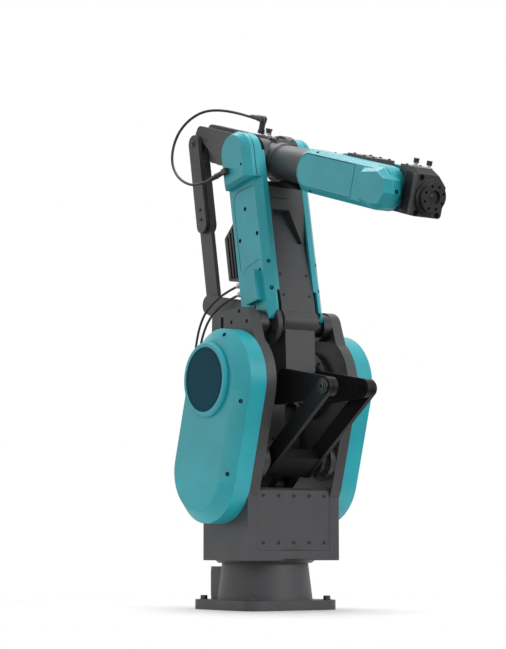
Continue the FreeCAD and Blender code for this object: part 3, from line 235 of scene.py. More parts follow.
class Form:
    """Points and faces of one scene piece, gathered from turned forms and slabs."""

    def __init__(self):
        self.points = []
        self.faces = []

    def join(self, low, high, count):
        """A band of faces between two rows of points."""
        for number in range(count):
            after = (number + 1) % count
            self.faces.append((low + number, low + after, high + after, high + number))

    def close(self, first, last, count):
        """The two end faces."""
        self.faces.append(tuple(first + number for number in reversed(range(count))))
        self.faces.append(tuple(last + number for number in range(count)))

    def turned(self, at, way, rings, count=24):
        """Rings of (radius, height, sides) round an axis. Sides 0 is a circle."""
        spin = Vector(way).to_track_quat("Z", "Y").to_matrix()
        first = len(self.points)
        for radius, height, sides in rings:
            for number in range(count):
                turn = 2 * math.pi * number / count
                reach = radius
                if sides:
                    part = math.pi / sides
                    reach = radius * math.cos(part) / math.cos(turn % (2 * part) - part)
                spot = Vector((reach * math.cos(turn), reach * math.sin(turn), height))
                self.points.append(at + spin @ spot * MM)
        last = first + (len(rings) - 1) * count
        for low in range(first, last, count):
            self.join(low, low + count, count)
        self.close(first, last, count)

    def slab(self, axes, outline, low, high):
        """An outline of (x, z) corners run anticlockwise, between two distances across."""
        first = len(self.points)
        count = len(outline)
        for across in (low, high):
            self.points += [place(axes, x, across, z) for x, z in outline]
        self.join(first, first + count, count)
        self.close(first, first + count, count)

    def build(self, name, slot, body, look=None, round_by=0.0):
        """One scene piece that rides a body."""
        mesh = bpy.data.meshes.new(name)
        mesh.from_pydata([tuple(point) for point in self.points], [], self.faces)
        mesh.materials.append(look or LOOKS[slot])
        for face in mesh.polygons:
            face.use_smooth = True
        mesh.set_sharp_from_angle(angle=PIECE_SHARP)
        made = bpy.data.objects.new(name, mesh)
        bpy.context.scene.collection.objects.link(made)
        if round_by:
            add_bevel(made, round_by, PIECE_EDGE)
        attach(made, body)


# Screw heads: radius, and the height that they stand out
HEADS = {
    "pod": (4.6, 1.6), "axis_gear": (3.6, 3.0), "motor": (3.4, 3.0), "bracket": (4.0, 3.0),
    "gear_unit": (2.6, 1.4), "front_wall": (3.6, 2.4), "foot": (8.0, 8.0), "panel": (3.2, 1.8),
    "arm_cover": (4.4, 1.2), "arm_front": (3.2, 2.0), "front_pin": (8.0, 3.0), "rod_pin": (4.4, 2.0),
    "rod_cheek": (4.0, 2.4), "fork": (2.8, 1.4), "elbow_block": (3.2, 2.2), "forearm_end": (4.6, 1.6),
    "spine": (3.2, 2.4), "saddle": (2.8, 2.0),
}
# Radius of the holes with a sunk screw. The arm covers' holes have theirs beside their places
MOUTHS = {"ear": 4.4, "elbow_cap": 3.2, "connector_box": 1.7, "elbow_crank": 3.6, "elbow_lever": 3.6,
          "forearm_bevel": 3.4, "wrist_head": 6.4}


def screw(form, at, way, size):
    """A screw with a hexagon socket."""
    head, tall = size
    form.turned(at, way, [(head, -1.5, 0), (head, tall - 0.15 * head, 0), (head * 0.85, tall, 0),
                          (head * 0.5, tall, 6), (head * 0.46, tall - 0.5 * head, 6)])


def sunk_screw(form, at, way, hole):
    """The mouth of a hole with a screw in it, as a shallow disc; the dark colour that it is given is
    painted shade of the hole.
    """
    form.turned(at, way, [(hole, -1.0, 0), (hole, 0.12, 0), (hole * 0.88, 0.3, 0), (hole * 0.8, 0.14, 0),
                          (hole * 0.5, 0.14, 0), (hole * 0.45, 0.06, 6)])


def around(axes, middle, reach, degrees, across):
    """A point at a distance and an angle from a middle (x, z) in one of the frames."""
    turn = math.radians(degrees)
    return place(axes, middle[0] + reach * math.cos(turn), across, middle[1] + reach * math.sin(turn))


def half_circle(step):
    """Angles from 0 to 180 degrees."""
    return [math.radians(degrees) for degrees in range(0, 181, step)]


LINE_DEEP = 0.5
LINE_PROUD = 0.12


def seam_line(form, axes, corners, half, sign, face):
    """A thin line along (x, z) corners on the outer face of the near or the far side."""
    for (x_a, z_a), (x_b, z_b) in zip(corners, corners[1:]):
        run = math.hypot(x_b - x_a, z_b - z_a)
        off_x, off_z = -(z_b - z_a) / run * half, (x_b - x_a) / run * half
        form.slab(axes, [(x_a - off_x, z_a - off_z), (x_b - off_x, z_b - off_z),
                         (x_b + off_x, z_b + off_z), (x_a + off_x, z_a + off_z)],
                  sign * (face - LINE_DEEP), sign * (face + LINE_PROUD))


BOOT_RIBS = 5
BOOT_RADIUS = 6.0
BOOT_SHRINK = 0.3


def boot_ribs(form, axes, x, across, z, pitch, foot):
    """Ribs of a plug's boot, thinner towards the cable, which leaves to the rear."""
    for number in range(BOOT_RIBS):
        less = BOOT_SHRINK * number
        form.turned(place(axes, x - number * pitch, across, z), heading(axes, -1, 0, 0),
                    [(foot - less, 0, 0), (BOOT_RADIUS - less, 0.5, 0), (BOOT_RADIUS - less, 2.2, 0),
                     (foot - less, 2.7, 0)])


# Cables: a smooth line through the same points as the CAD route
CABLES = [
    ("elbow_cable", "elbow_cable_run", 6.4, ("lower_arm", "elbow"), 0.509,
     [(-50.0, -8.0, 1143.5), (-94.0, -15.0, 1160.0), (-139.9, -34.0, 1172.0), (-180.2, -50.0, 1174.0),
      (-217.5, -64.0, 1160.9), (-246.7, -77.0, 1133.9), (-260.6, -86.0, 1096.2), (-255.5, -93.0, 1055.7),
      (-226.0, -99.0, 1021.0), (-184.0, -103.0, 996.0), (-134.0, -105.0, 981.0), (-76.0, -105.0, 985.0)]),
    ("upper_cable", "upper_side_cable", 5.6, ("carousel", "lower_arm"), 0.329,
     [(-10.4, -69.0, 733.9), (-47.0, -69.0, 727.2), (-84.0, -79.0, 709.0), (-114.0, -88.0, 684.0),
      (-130.0, -95.0, 648.0), (-136.0, -101.0, 602.0), (-132.0, -108.0, 556.0), (-115.7, -112.5, 514.3),
      (-82.1, -112.5, 504.7)]),
    ("lower_cable", "lower_side_cable", 5.6, ("carousel", "lower_arm"), 0.2766,
     [(-6.7, -69.0, 713.2), (-38.0, -69.0, 707.5), (-68.0, -80.0, 692.0), (-92.0, -91.0, 667.0),
      (-106.0, -100.0, 632.0), (-112.0, -106.0, 592.0), (-112.0, -111.0, 552.0), (-106.0, -112.5, 524.1),
      (-78.8, -112.5, 516.2)]),
]


def lay_cable(name, node, diameter, bodies, length, points):
    """A cable that crosses one joint."""
    curve = bpy.data.curves.new(name + "_line", "CURVE")
    curve.dimensions = "3D"
    spline = curve.splines.new("NURBS")
    spline.points.add(len(points) - 1)
    for point, (x, y, z) in zip(spline.points, points):
        point.co = (x * MM, y * MM, z * MM, 1)
    spline.order_u = 3
    spline.use_endpoint_u = True
    spline.resolution_u = 10
    centre = bpy.data.objects.new(name + "_line", curve)
    bpy.context.scene.collection.objects.link(centre)
    path = [tuple(v.co) for v in bpy.data.meshes.new_from_object(centre).vertices]
    curve.bevel_depth = diameter / 2 * MM
    curve.bevel_resolution = 4
    curve.use_fill_caps = True
    mesh = bpy.data.meshes.new_from_object(centre)
    bpy.data.objects.remove(centre)
    mesh.materials.clear()
    mesh.materials.append(LOOKS["cable_rubber"])
    for face in mesh.polygons:
        face.use_smooth = True
    tube = bpy.data.objects.new(name, mesh)
    bpy.context.scene.collection.objects.link(tube)
    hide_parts(node)
    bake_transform(tube)


for cable in CABLES:
    lay_cable(*cable)

# Details of the carousel
DISC = (41.0, 511.0)
LID_FLOOR = 194.5
LID_INLAY = 72.2
# Screws in the pod's edge: x, z, across, and the way (x, across, z) that each one points
POD_SCREWS = ((91.8, 608.1, 175.1, (0.16, 0.84, 0.52)), (156.3, 457.0, 175.6, (0.52, 0.84, -0.15)),
              (107.6, 299.5, 177.2, (0.52, 0.84, -0.15)))
# Circles of bolts on an axis gear: radius, and the face that they are on
GEAR_BOLTS = ((64.0, 87.0), (44.0, 76.0))
GEAR_INNER = 76.0
GEAR_HUB = [(36, -1, 0), (36, 3, 0), (34, 4, 0), (20, 4, 0), (18, 1.5, 0)]
MOTOR = (92, 336)
MOTOR_BOLTS = 38
MOTOR_FLANGE = 85.0
MOTOR_INNER = 72.0
MOTOR_HUB = [(24, -1, 0), (24, 2, 0), (22, 3, 0), (12, 3, 0), (11, 1, 0)]
BRACKET_FACE = 66.0
BRACKET_BOLTS = ((-60, 392), (-36, 378), (-62, 328), (-100, 402), (-140, 420))
PLATE_OUTER = 126.0
EAR_SCREWS = ((47.2, 642.1), (77.3, 665.0), (108.0, 640.0), (24.1, 626.9))
EAR_SLOT = [(6, 632), (15, 630), (15, 656), (6, 658)]
PLATE_LUG = [(-92, 424), (-14, 402), (-14, 496), (-58, 492), (-92, 470)]
LUG_INNER = 66.6
LUG_OUTER = 71.6
for side, sign in SIDES:
    # The pod's screws are drawn in the painted hole shade
    screws = Form()
    for x, z, across, (way_x, way_across, way_z) in POD_SCREWS:
        way = heading(WORLD, way_x, sign * way_across, way_z)
        screw(screws, place(WORLD, x, sign * across, z), way, HEADS["pod"])
    screws.build(side + "_pod_screws", "black_plastic", "carousel", PAINTED_HOLE_SHADE)
    inlay = Form()
    inlay.turned(place(WORLD, DISC[0], sign * LID_FLOOR, DISC[1]), NEAR * sign,
                 [(LID_INLAY, -0.6, 0), (LID_INLAY, 0.5, 0), (LID_INLAY - 0.6, 0.8, 0),
                  (LID_INLAY - 5, 0.8, 0), (LID_INLAY - 5.5, 0.3, 0), (LID_INLAY - 7, 0.3, 0),
                  (LID_INLAY - 7.5, 0.8, 0)], 96)
    inlay.build(side + "_lid_inlay", "black_plastic", "carousel", INLAY_AND_GAP_SHADE)

    gears = Form()
    for degrees in range(15, 360, 30):
        for reach, across in GEAR_BOLTS:
            screw(gears, around(WORLD, DISC, reach, degrees, sign * across), FAR * sign, HEADS["axis_gear"])
    gears.turned(place(WORLD, DISC[0], sign * GEAR_INNER, DISC[1]), FAR * sign, GEAR_HUB, 64)
    for degrees in range(20, 360, 45):
        screw(gears, around(WORLD, MOTOR, MOTOR_BOLTS, degrees, sign * MOTOR_FLANGE), FAR * sign,
              HEADS["motor"])
    gears.turned(place(WORLD, MOTOR[0], sign * MOTOR_INNER, MOTOR[1]), FAR * sign, MOTOR_HUB, 48)
    for x, z in BRACKET_BOLTS:
        screw(gears, place(WORLD, x, sign * BRACKET_FACE, z), FAR * sign, HEADS["bracket"])
    gears.build(side + "_gear_bolts", "shaft_steel", "carousel")

    ear = Form()
    for x, z in EAR_SCREWS:
        sunk_screw(ear, place(WORLD, x, sign * PLATE_OUTER, z), NEAR * sign, MOUTHS["ear"])
    ear.build(side + "_ear_screws", "black_plastic", "carousel", PAINTED_HOLE_SHADE)
    # The ear's slot is a dark slab proud of the plate: painted shade of the slot's recess
    slot = Form()
    slot.slab(WORLD, EAR_SLOT, sign * (PLATE_OUTER - 1.0), sign * (PLATE_OUTER + 0.4))
    slot.build(side + "_ear_slot", "black_plastic", "carousel", PAINTED_HOLE_SHADE)
    lug = Form()
    lug.slab(WORLD, PLATE_LUG, sign * LUG_INNER, sign * LUG_OUTER)
    lug.build(side + "_plate_lug", "dark_casting", "carousel", round_by=1.0)

UNIT = (-183.0, 435.0)
UNIT_INNER = 18
UNIT_BOLTS = 39
UNIT_RINGS_AT = (30, 48)
UNIT_RING = [(46, 0, 0), (48.5, 1, 0), (48.5, 5, 0), (46, 6, 0)]
units = Form()
for sign in (1, -1):
    for across in UNIT_RINGS_AT:
        units.turned(place(WORLD, UNIT[0], sign * across, UNIT[1]), NEAR * sign, UNIT_RING, 64)
    for degrees in range(0, 360, 45):
        screw(units, around(WORLD, UNIT, UNIT_BOLTS, degrees, sign * UNIT_INNER), FAR * sign,
              HEADS["gear_unit"])
units.build("gear_unit_rings", "gear_housing", "carousel")

WALL_FRONT = 112
wall = Form()
for across in range(-84, 85, 42):
    for z in (150, 254):
        screw(wall, place(WORLD, WALL_FRONT, across, z), FORWARD, HEADS["front_wall"])
wall.build("front_wall_screws", "shaft_steel", "carousel")

# The inlet lies behind the pod's rear edge, in the middle of the side plate
INLET_REAR = -142
INLET_ACROSS = 112.5
INLET_UP = 168
inlet = Form()
for step in (-6, 6):
    inlet.turned(place(POD, INLET_REAR, INLET_ACROSS, INLET_UP + step), heading(POD, -1, 0, 0),
                 [(5.2, -1, 0), (5.2, 3, 0), (4.4, 4.5, 0), (3.4, 5, 0)], 20)
inlet.build("inlet_rings", "bright_connector", "carousel")

# Details of the base
FOOT_TOP = 22
FOOT_WASHER = 1.5
FOOT_BOLTS = (-100, 100)
base = Form()
for x in FOOT_BOLTS:
    for y in FOOT_BOLTS:
        base.turned(Vector((x, y, FOOT_TOP)) * MM, UP, [(10.5, -0.5, 0), (10.5, 1.2, 0), (9.5, 1.6, 0)], 32)
        screw(base, Vector((x, y, FOOT_TOP + FOOT_WASHER)) * MM, UP, HEADS["foot"])
base.build("base_bolts", "shaft_steel", "base")

PANEL_FACE = -132
SOCKET_FACE = -141
SOCKET_UP = 59
caps = Form()
for across in (-38, 0, 38):
    caps.turned(place(WORLD, SOCKET_FACE, across, SOCKET_UP), REARWARD,
                [(13.5, -3, 0), (14.5, -2.5, 0), (14.5, 1, 0), (13.2, 2, 0), (11, 2, 0), (10, 1, 0)], 40)
caps.build("panel_caps", "black_plastic", "base")
panel = Form()
for across in (-54, 54):
    for z in (34, 84):
        screw(panel, place(WORLD, PANEL_FACE, across, z), REARWARD, HEADS["panel"])
panel.build("panel_screws", "bright_connector", "base")

# Details of the lower arm
COVER_OUTER = 76.0
COVER_REAR = -69.5
COVER_SHIFT = -13
CAP_OUTER = 98.0
CAP_SCREW = (16.5, 372.0)
CAP_GROOVE = 56.6
CAP_GROOVE_LOW = 339
# Holes in an arm cover: x, z, radius, and whether the far cover has the hole too
COVER_HOLES = ((-15.8, 276.4, 5.0, True), (20.1, 207.6, 5.0, True), (-48.2, 209.8, 5.0, True),
               (16.5, 123.5, 3.2, False), (-43.3, 124.7, 3.2, False), (-44.2, 75.2, 3.2, True),
               (-17.7, 44.1, 3.2, True))
COVER_BEVEL_SCREWS = ((38.5, 66, 137.3), (39.0, 65.5, 74.8))
COVER_SEAM = [(26, 321), (-30, 323.5), (-42, 322), (-51, 316), (-56, 305), (-57, 290), (-57, 140)]
COVER_LOW_SEAM = [(-49, 124), (-44, 134), (-34, 141), (18, 147)]
for side, sign in SIDES:
    holes = Form()
    for x, z, hole, on_far_side in COVER_HOLES:
        if side == "near" or on_far_side:
            sunk_screw(holes, place(ARM, x, sign * COVER_OUTER, z), NEAR * sign, hole)
    for x, across, z in COVER_BEVEL_SCREWS:
        screw(holes, place(ARM, x, sign * across, z), heading(ARM, 0.71, sign * 0.71, 0),
              HEADS["arm_cover"])
    sunk_screw(holes, place(ARM, CAP_SCREW[0], sign * CAP_OUTER, CAP_SCREW[1]), NEAR * sign,
               MOUTHS["elbow_cap"])
    holes.build(side + "_cover_screws", "black_plastic", "lower_arm", PAINTED_HOLE_SHADE)
    # The cap groove is a dark band proud of the cover: painted shade of the groove
    groove = Form()
    outline = [(COVER_SHIFT - CAP_GROOVE, CAP_GROOVE_LOW), (COVER_SHIFT + CAP_GROOVE, CAP_GROOVE_LOW)]
    for turn in half_circle(5):
        outline.append((COVER_SHIFT + CAP_GROOVE * math.cos(turn),
                        ARM_LENGTH + CAP_GROOVE * math.sin(turn)))
    groove.slab(ARM, outline, sign * (COVER_OUTER - 0.8), sign * (COVER_OUTER + 1.0))
    groove.build(side + "_cap_groove", "black_plastic", "lower_arm", INLAY_AND_GAP_SHADE)
    # The seams are dark lines: painted shade in the gaps between the cover's parts
    seam = Form()
    seam_line(seam, ARM, COVER_SEAM, 0.8, sign, COVER_OUTER)
    seam_line(seam, ARM, COVER_LOW_SEAM, 0.6, sign, COVER_OUTER)
    seam.build(side + "_cover_seam", "black_plastic", "lower_arm", INLAY_AND_GAP_SHADE)

BOX_OUTER = 77.6
BOX_PLATE = [(-36, 50), (13, 50), (13, 127), (-36, 127)]
box_plate = Form()
box_plate.slab(ARM, BOX_PLATE, COVER_OUTER - 1.0, BOX_OUTER)
box_plate.build("connector_box_plate", "teal_cover", "lower_arm", round_by=1.0)
box_screws = Form()
for x, z in ((-32, 54), (-32, 123), (10.2, 54), (10.2, 123)):
    sunk_screw(box_screws, place(ARM, x, BOX_OUTER, z), NEAR, MOUTHS["connector_box"])
box_screws.build("connector_box_screws", "black_plastic", "lower_arm")

GLANDS = (113, 92)
GLAND_ACROSS = 69
nuts = Form()
for z in GLANDS:
    nuts.turned(place(ARM, COVER_REAR, GLAND_ACROSS, z), ARM_REARWARD,
                [(7.1, -0.5, 6), (7.1, 3.2, 6), (6.6, 3.8, 6), (5.6, 3.8, 0)])
    nuts.turned(place(ARM, COVER_REAR - 9, GLAND_ACROSS, z), ARM_REARWARD,
                [(5.4, 0, 0), (6.6, 0.6, 0), (6.6, 3.0, 0), (5.4, 3.6, 0)])
    nuts.turned(place(ARM, COVER_REAR - 15, GLAND_ACROSS, z), ARM_REARWARD,
                [(5.4, 0, 0), (4.6, 3.0, 0), (3.2, 4.0, 0)])
nuts.build("gland_nuts", "bright_connector", "lower_arm")

# Ribs of the harness guard, whose upper and lower edges part from its rear to its front
GUARD_REAR = -144
GUARD_LONG = 92
GUARD_TOP = 246
GUARD_TOP_RISE = 58
GUARD_LOW = 150
GUARD_LOW_FALL = 20
GUARD_SIDE = 44.0
RIB_HALF = 2.4
RIB_TALL = 3.4
ribs = Form()
for number in range(8):
    x = GUARD_REAR + 6 + number * 11.5
    share = (x - GUARD_REAR) / GUARD_LONG
    high, low = GUARD_TOP + share * GUARD_TOP_RISE, GUARD_LOW - share * GUARD_LOW_FALL
    ribs.slab(ARM, [(x - RIB_HALF, low), (x + RIB_HALF, low), (x + RIB_HALF, high), (x - RIB_HALF, high)],
              GUARD_SIDE, GUARD_SIDE + 5.0)
for z in range(154, 246, 7):
    ribs.slab(ARM, [(GUARD_REAR - 9, z), (GUARD_REAR - 4, z), (GUARD_REAR - 4, z + RIB_TALL),
                    (GUARD_REAR - 9, z + RIB_TALL)], 16.0, GUARD_SIDE)
ribs.build("harness_ribs", "black_plastic", "lower_arm", round_by=0.7)

CAP_PLUG_X = -46
CAP_PLUG_ACROSS = 105
CAP_PLUG_Z = 372
plug_rings = Form()
plug_rings.turned(place(ARM, CAP_PLUG_X - 24, CAP_PLUG_ACROSS, CAP_PLUG_Z), ARM_REARWARD,
                  [(6, 0, 0), (6.8, 0.6, 0), (6.8, 4.0, 0), (6, 4.6, 0)])
boot_ribs(plug_rings, ARM, CAP_PLUG_X - 32, CAP_PLUG_ACROSS, CAP_PLUG_Z, 5, 5.2)
plug_rings.turned(place(ARM, CAP_PLUG_X + 8, CAP_OUTER - 1.0, CAP_PLUG_Z), NEAR,
                  [(9.0, -6, 0), (9.0, 0, 0), (8.2, 0.8, 0)], 32)
plug_rings.build("cap_plug_rings", "black_plastic", "lower_arm")

PIN_OUTER = 69.0
pins = Form()
for sign in (1, -1):
    pin_end = place(WORLD, FRONT_PIN[0], sign * PIN_OUTER, FRONT_PIN[1])
    screw(pins, pin_end, NEAR * sign, HEADS["front_pin"])
    pins.turned(pin_end, NEAR * sign,
                [(13.5, -1, 0), (13.5, 1.0, 0), (12.8, 1.4, 0), (9.5, 1.4, 0), (9.5, 0.4, 0)], 40)
pins.build("front_pin_screws", "shaft_steel", "lower_arm")

ARM_FRONT_BOLTS = ((41.8, 60.0), (37.5, 110.0))
arm_bolts = Form()
for x, z in ARM_FRONT_BOLTS:
    for across in (-36, 36):
        screw(arm_bolts, place(ARM, x, across, z), ARM_FORWARD, HEADS["arm_front"])
arm_bolts.build("arm_front_bolts", "shaft_steel", "lower_arm")
TAIL_WEB = [(-46, -56), (-18, -56), (-18, -26), (-38, -26)]
TAIL_WEB_ACROSS = (12, 40)
web = Form()
web.slab(ARM, TAIL_WEB, *TAIL_WEB_ACROSS)
web.build("arm_tail_web", "dark_casting", "lower_arm", round_by=1.5)

# Details of the links
SIDE_CRANK_BOLTS = 34
SIDE_CRANK_FACE = 61.5
crank_bolts = Form()
for degrees in range(10, 360, 45):
    sunk_screw(crank_bolts, around(SHOULDER, (0, 0), SIDE_CRANK_BOLTS, degrees, SIDE_CRANK_FACE), NEAR,
               MOUTHS["elbow_crank"])
crank_bolts.build("elbow_crank_bolts", "shaft_steel", "elbow_crank", PAINTED_HOLE_SHADE)

ROD_NEAR = 56.6
ROD_FAR = 26.4
rod_bolts = Form()
rod_bolts.turned(place(ROD, 0, ROD_NEAR, 0), NEAR, [(9.0, -1, 0), (9.0, 0.8, 0), (8.4, 1.2, 0)], 32)
screw(rod_bolts, place(ROD, 0, ROD_NEAR + 1.0, 0), NEAR, HEADS["rod_pin"])
for z in (-168, -192):
    screw(rod_bolts, place(ROD, 0, ROD_NEAR, z), NEAR, HEADS["rod_cheek"])
    screw(rod_bolts, place(ROD, 0, ROD_FAR, z), FAR, HEADS["rod_cheek"])
rod_bolts.build("tie_rod_bolts", "shaft_steel", "tie_rod")

# Bolts in the lower face of the fork's bars: across, and how far along each bar
FORK_BOLTS = ((59, (91, 156)), (-59, (116, 180)))
FORK_LOWER_FACE = 20.0
fork_bolts = Form()
for across, places in FORK_BOLTS:
    for x in places:
        screw(fork_bolts, place(FORK, x, across, FORK_LOWER_FACE), heading(FORK, 0, 0, 1), HEADS["fork"])
fork_bolts.build("fork_bolts", "shaft_steel", "fork")

# Details of the elbow
LEVER_FACE = 46.2
LEVER_BOLTS = ((-211.6, 27.9), (-210.7, 10.2), (-183.6, -5.5), (-156.7, -21.0))
BLOCK_TOP = 48.0
BLOCK_BOLTS = ((-38, -32), (-38, 10), (30, -32), (30, 10), (-4, -32))
DRUM_FROM = -20
elbow_bolts = Form()
for x, z in LEVER_BOLTS:
    sunk_screw(elbow_bolts, place(ELBOW, x, LEVER_FACE, z), NEAR, MOUTHS["elbow_lever"])
for x, across in BLOCK_BOLTS:
    screw(elbow_bolts, place(ELBOW, x, across, BLOCK_TOP), ELBOW_UP, HEADS["elbow_block"])
elbow_bolts.build("elbow_bolts", "shaft_steel", "elbow")
drum = Form()
drum.turned(place(ELBOW, 0, DRUM_FROM, 0), FAR,
            [(53, 0, 0), (55, 1.5, 0), (55, 24, 0), (53.5, 25.4, 0)], 72)
drum.build("elbow_far_drum", "dark_casting", "elbow")

# The two plugs on top of the elbow: an angled one with a boot, and a capped socket
TOP_PLUG_X = -43.0
TOP_PLUG_ACROSS = 8.0
TOP_PLUG_Z = 85.5
TOP_SOCKET_X = -21.0
TOP_SOCKET_ACROSS = 2.0
TOP_NUT = [(10.0, 0, 6), (10.0, 3.0, 6), (9.2, 3.6, 6), (7.5, 3.6, 0)]
top_nuts = Form()
for x, across in ((TOP_PLUG_X, TOP_PLUG_ACROSS), (TOP_SOCKET_X, TOP_SOCKET_ACROSS)):
    top_nuts.turned(place(ELBOW, x, across, BLOCK_TOP), ELBOW_UP, TOP_NUT)
top_nuts.build("top_plug_nuts", "bright_connector", "elbow")
top_body = Form()
top_body.turned(place(ELBOW, TOP_PLUG_X, TOP_PLUG_ACROSS, BLOCK_TOP + 4.0), ELBOW_UP,
                [(8.4, 0, 0), (8.4, 8.0, 0), (7.0, 9.0, 0), (7.0, 24.0, 0), (8.6, 25.5, 0), (8.6, 30.0, 0),
                 (7.8, 36.0, 0), (5.6, 40.0, 0), (2.0, 41.6, 0)], 32)
top_body.turned(place(ELBOW, TOP_PLUG_X + 7, TOP_PLUG_ACROSS, TOP_PLUG_Z), ELBOW_REARWARD,
                [(4.0, -1.0, 0), (6.6, 0.5, 0), (7.6, 3.0, 0), (7.6, 26.0, 0), (6.6, 31.0, 0)], 32)
boot_ribs(top_body, ELBOW, TOP_PLUG_X - 28, TOP_PLUG_ACROSS, TOP_PLUG_Z, 4.6, 5.0)
top_body.turned(place(ELBOW, TOP_SOCKET_X, TOP_SOCKET_ACROSS, BLOCK_TOP + 4.0), ELBOW_UP,
                [(6.6, 0, 0), (6.6, 9.0, 0), (8.0, 9.6, 0), (8.0, 13.4, 0), (7.2, 14.6, 0)], 32)
top_body.build("top_plug_body", "black_plastic", "elbow")

# Details of the forearm
FORE_BEVEL_ACROSS = 67.0
FORE_BEVEL_UP = 43.2
FORE_OUTER = 72.0
FORE_SEAM_HALF = 36
FORE_SEAM_FROM = 248
FORE_SEAM_TO = 416
# Screws in the covers' bevels: how far along, and 1 for the upper bevel or -1 for the lower one
FORE_BEVEL_SCREWS = ((272.0, 1), (268.0, -1), (497.0, -1))
FORE_END_SCREW = (553.5, 56.0, -1.0)
for side, sign in SIDES:
    marks = Form()
    for x, above in FORE_BEVEL_SCREWS:
        sunk_screw(marks, place(ELBOW, x, sign * FORE_BEVEL_ACROSS, above * FORE_BEVEL_UP),
                   heading(ELBOW, 0, sign * 0.7, above * 0.7), MOUTHS["forearm_bevel"])
    x, across, z = FORE_END_SCREW
    screw(marks, place(ELBOW, x, sign * across, z), heading(ELBOW, 0.97, 0, 0.24), HEADS["forearm_end"])
    marks.build(side + "_forearm_screws", "black_plastic", "forearm", PAINTED_HOLE_SHADE)
    # The forearm's seam is a dark line: painted shade in the gap between its covers
    edge = Form()
    corners = [(FORE_SEAM_TO, FORE_SEAM_HALF)]
    for turn in half_circle(10):
        corners.append((FORE_SEAM_FROM - FORE_SEAM_HALF * math.sin(turn), FORE_SEAM_HALF * math.cos(turn)))
    corners.append((FORE_SEAM_TO, -FORE_SEAM_HALF))
    seam_line(edge, ELBOW, corners, 0.7, sign, FORE_OUTER)
    edge.build(side + "_forearm_seam", "black_plastic", "forearm", INLAY_AND_GAP_SHADE)

# Screws along the spine: how far along, and the height of the spine there
SPINE_SCREWS = ((345, 55.0), (380, 55.0), (412, 55.0), (275, 46.0), (310, 46.0))
spine = Form()
for x, z in SPINE_SCREWS:
    for across in (-22, 22):
        screw(spine, place(ELBOW, x, across, z), ELBOW_UP, HEADS["spine"])
spine.build("spine_screws", "shaft_steel", "forearm")
TUBE_FROM = 61.0
ring = Form()
ring.turned(place(ELBOW, TUBE_FROM, 0, 0), ELBOW_FORWARD,
            [(38, 0, 0), (40.5, 0.6, 0), (40.5, 5.0, 0), (39.2, 6.0, 0), (38.2, 6.4, 0)], 72)
ring.build("tube_ring", "dark_casting", "forearm")

# Details of the wrist and the flange
HEAD_FRONT = 95.0
HEAD_HOLES = ((27.4, 37.9), (28.4, -36.5), (-28.4, -36.5))
HEAD_TOP = 57.0
SADDLE_SCREWS_X = 27
KNOBS = (33, 77)
NECK_PAINTED_SHADE = [(56, -34), (81, -41), (81, 40), (72, 46), (56, 46)]
NECK_PAINTED_SHADE_ACROSS = (39.6, 40.25)
FRONT_RIM = [(83, -42), (94.8, -42), (94.8, 44), (83, 44)]
FRONT_RIM_ACROSS = (38.0, 42.0)
HUB_HALF = 29.3
FLANGE_BORE_FLOOR = 106.1
head = Form()
for across, z in HEAD_HOLES:
    sunk_screw(head, place(WRIST, HEAD_FRONT, across, z), WRIST_FORWARD, MOUTHS["wrist_head"])
for across in (-18, 18):
    screw(head, place(WRIST, SADDLE_SCREWS_X, across, HEAD_TOP), WRIST_UP, HEADS["saddle"])
head.build("wrist_screws", "black_plastic", "wrist", PAINTED_HOLE_SHADE)
# A flat dark inset in the head's near side, which stands for the neck: painted shade where the hollow neck
# lies in shadow
neck = Form()
neck.slab(WRIST, NECK_PAINTED_SHADE, *NECK_PAINTED_SHADE_ACROSS)
neck.build("wrist_neck_painted_shade", "black_link", "wrist")
rim = Form()
rim.slab(WRIST, FRONT_RIM, *FRONT_RIM_ACROSS)
rim.build("wrist_front_rim", "dark_casting", "wrist", round_by=1.5)
hub = Form()
for sign in (1, -1):
    hub.turned(place(WRIST, 0, sign * HUB_HALF, 0), heading(WRIST, 0, -sign, 0),
               [(46.2, 0, 0), (46.6, 0.8, 0), (46.6, 5.0, 0), (44.0, 6.4, 0)], 64)
hub.build("wrist_hub_rings", "dark_casting", "wrist")
stems = Form()
for x in KNOBS:
    stems.turned(place(WRIST, x, 0, HEAD_TOP), WRIST_UP,
                 [(7.0, -0.5, 6), (7.0, 1.6, 6), (4.6, 2.0, 0), (4.6, 5.6, 0), (5.4, 6.2, 0)])
stems.build("wrist_stems", "bright_connector", "wrist")
plug = Form()
plug.turned(place(WRIST, FLANGE_BORE_FLOOR, 0, 0), WRIST_FORWARD,
            [(6.0, -0.5, 0), (6.0, 0.5, 0), (5.4, 0.9, 0), (3.2, 0.9, 0), (3.0, 0.2, 0)], 32)
plug.build("flange_plug", "flange_steel", "tool_flange")

# Floor, light and camera
FLOOR_SIDE = 6.0
FLOOR_FADE = (0.45, 1.1)
FLOOR_GREY = (0.9, 0.9, 0.9, 1)
WHITE = (1, 1, 1, 1)
BRIGHT_WAY = Vector((-0.45, -0.20, 0.85)).normalized()
FILL = (0.16, 0.8)
GROUND_FROM = (-0.3, 0.0)
GROUND = 0.2


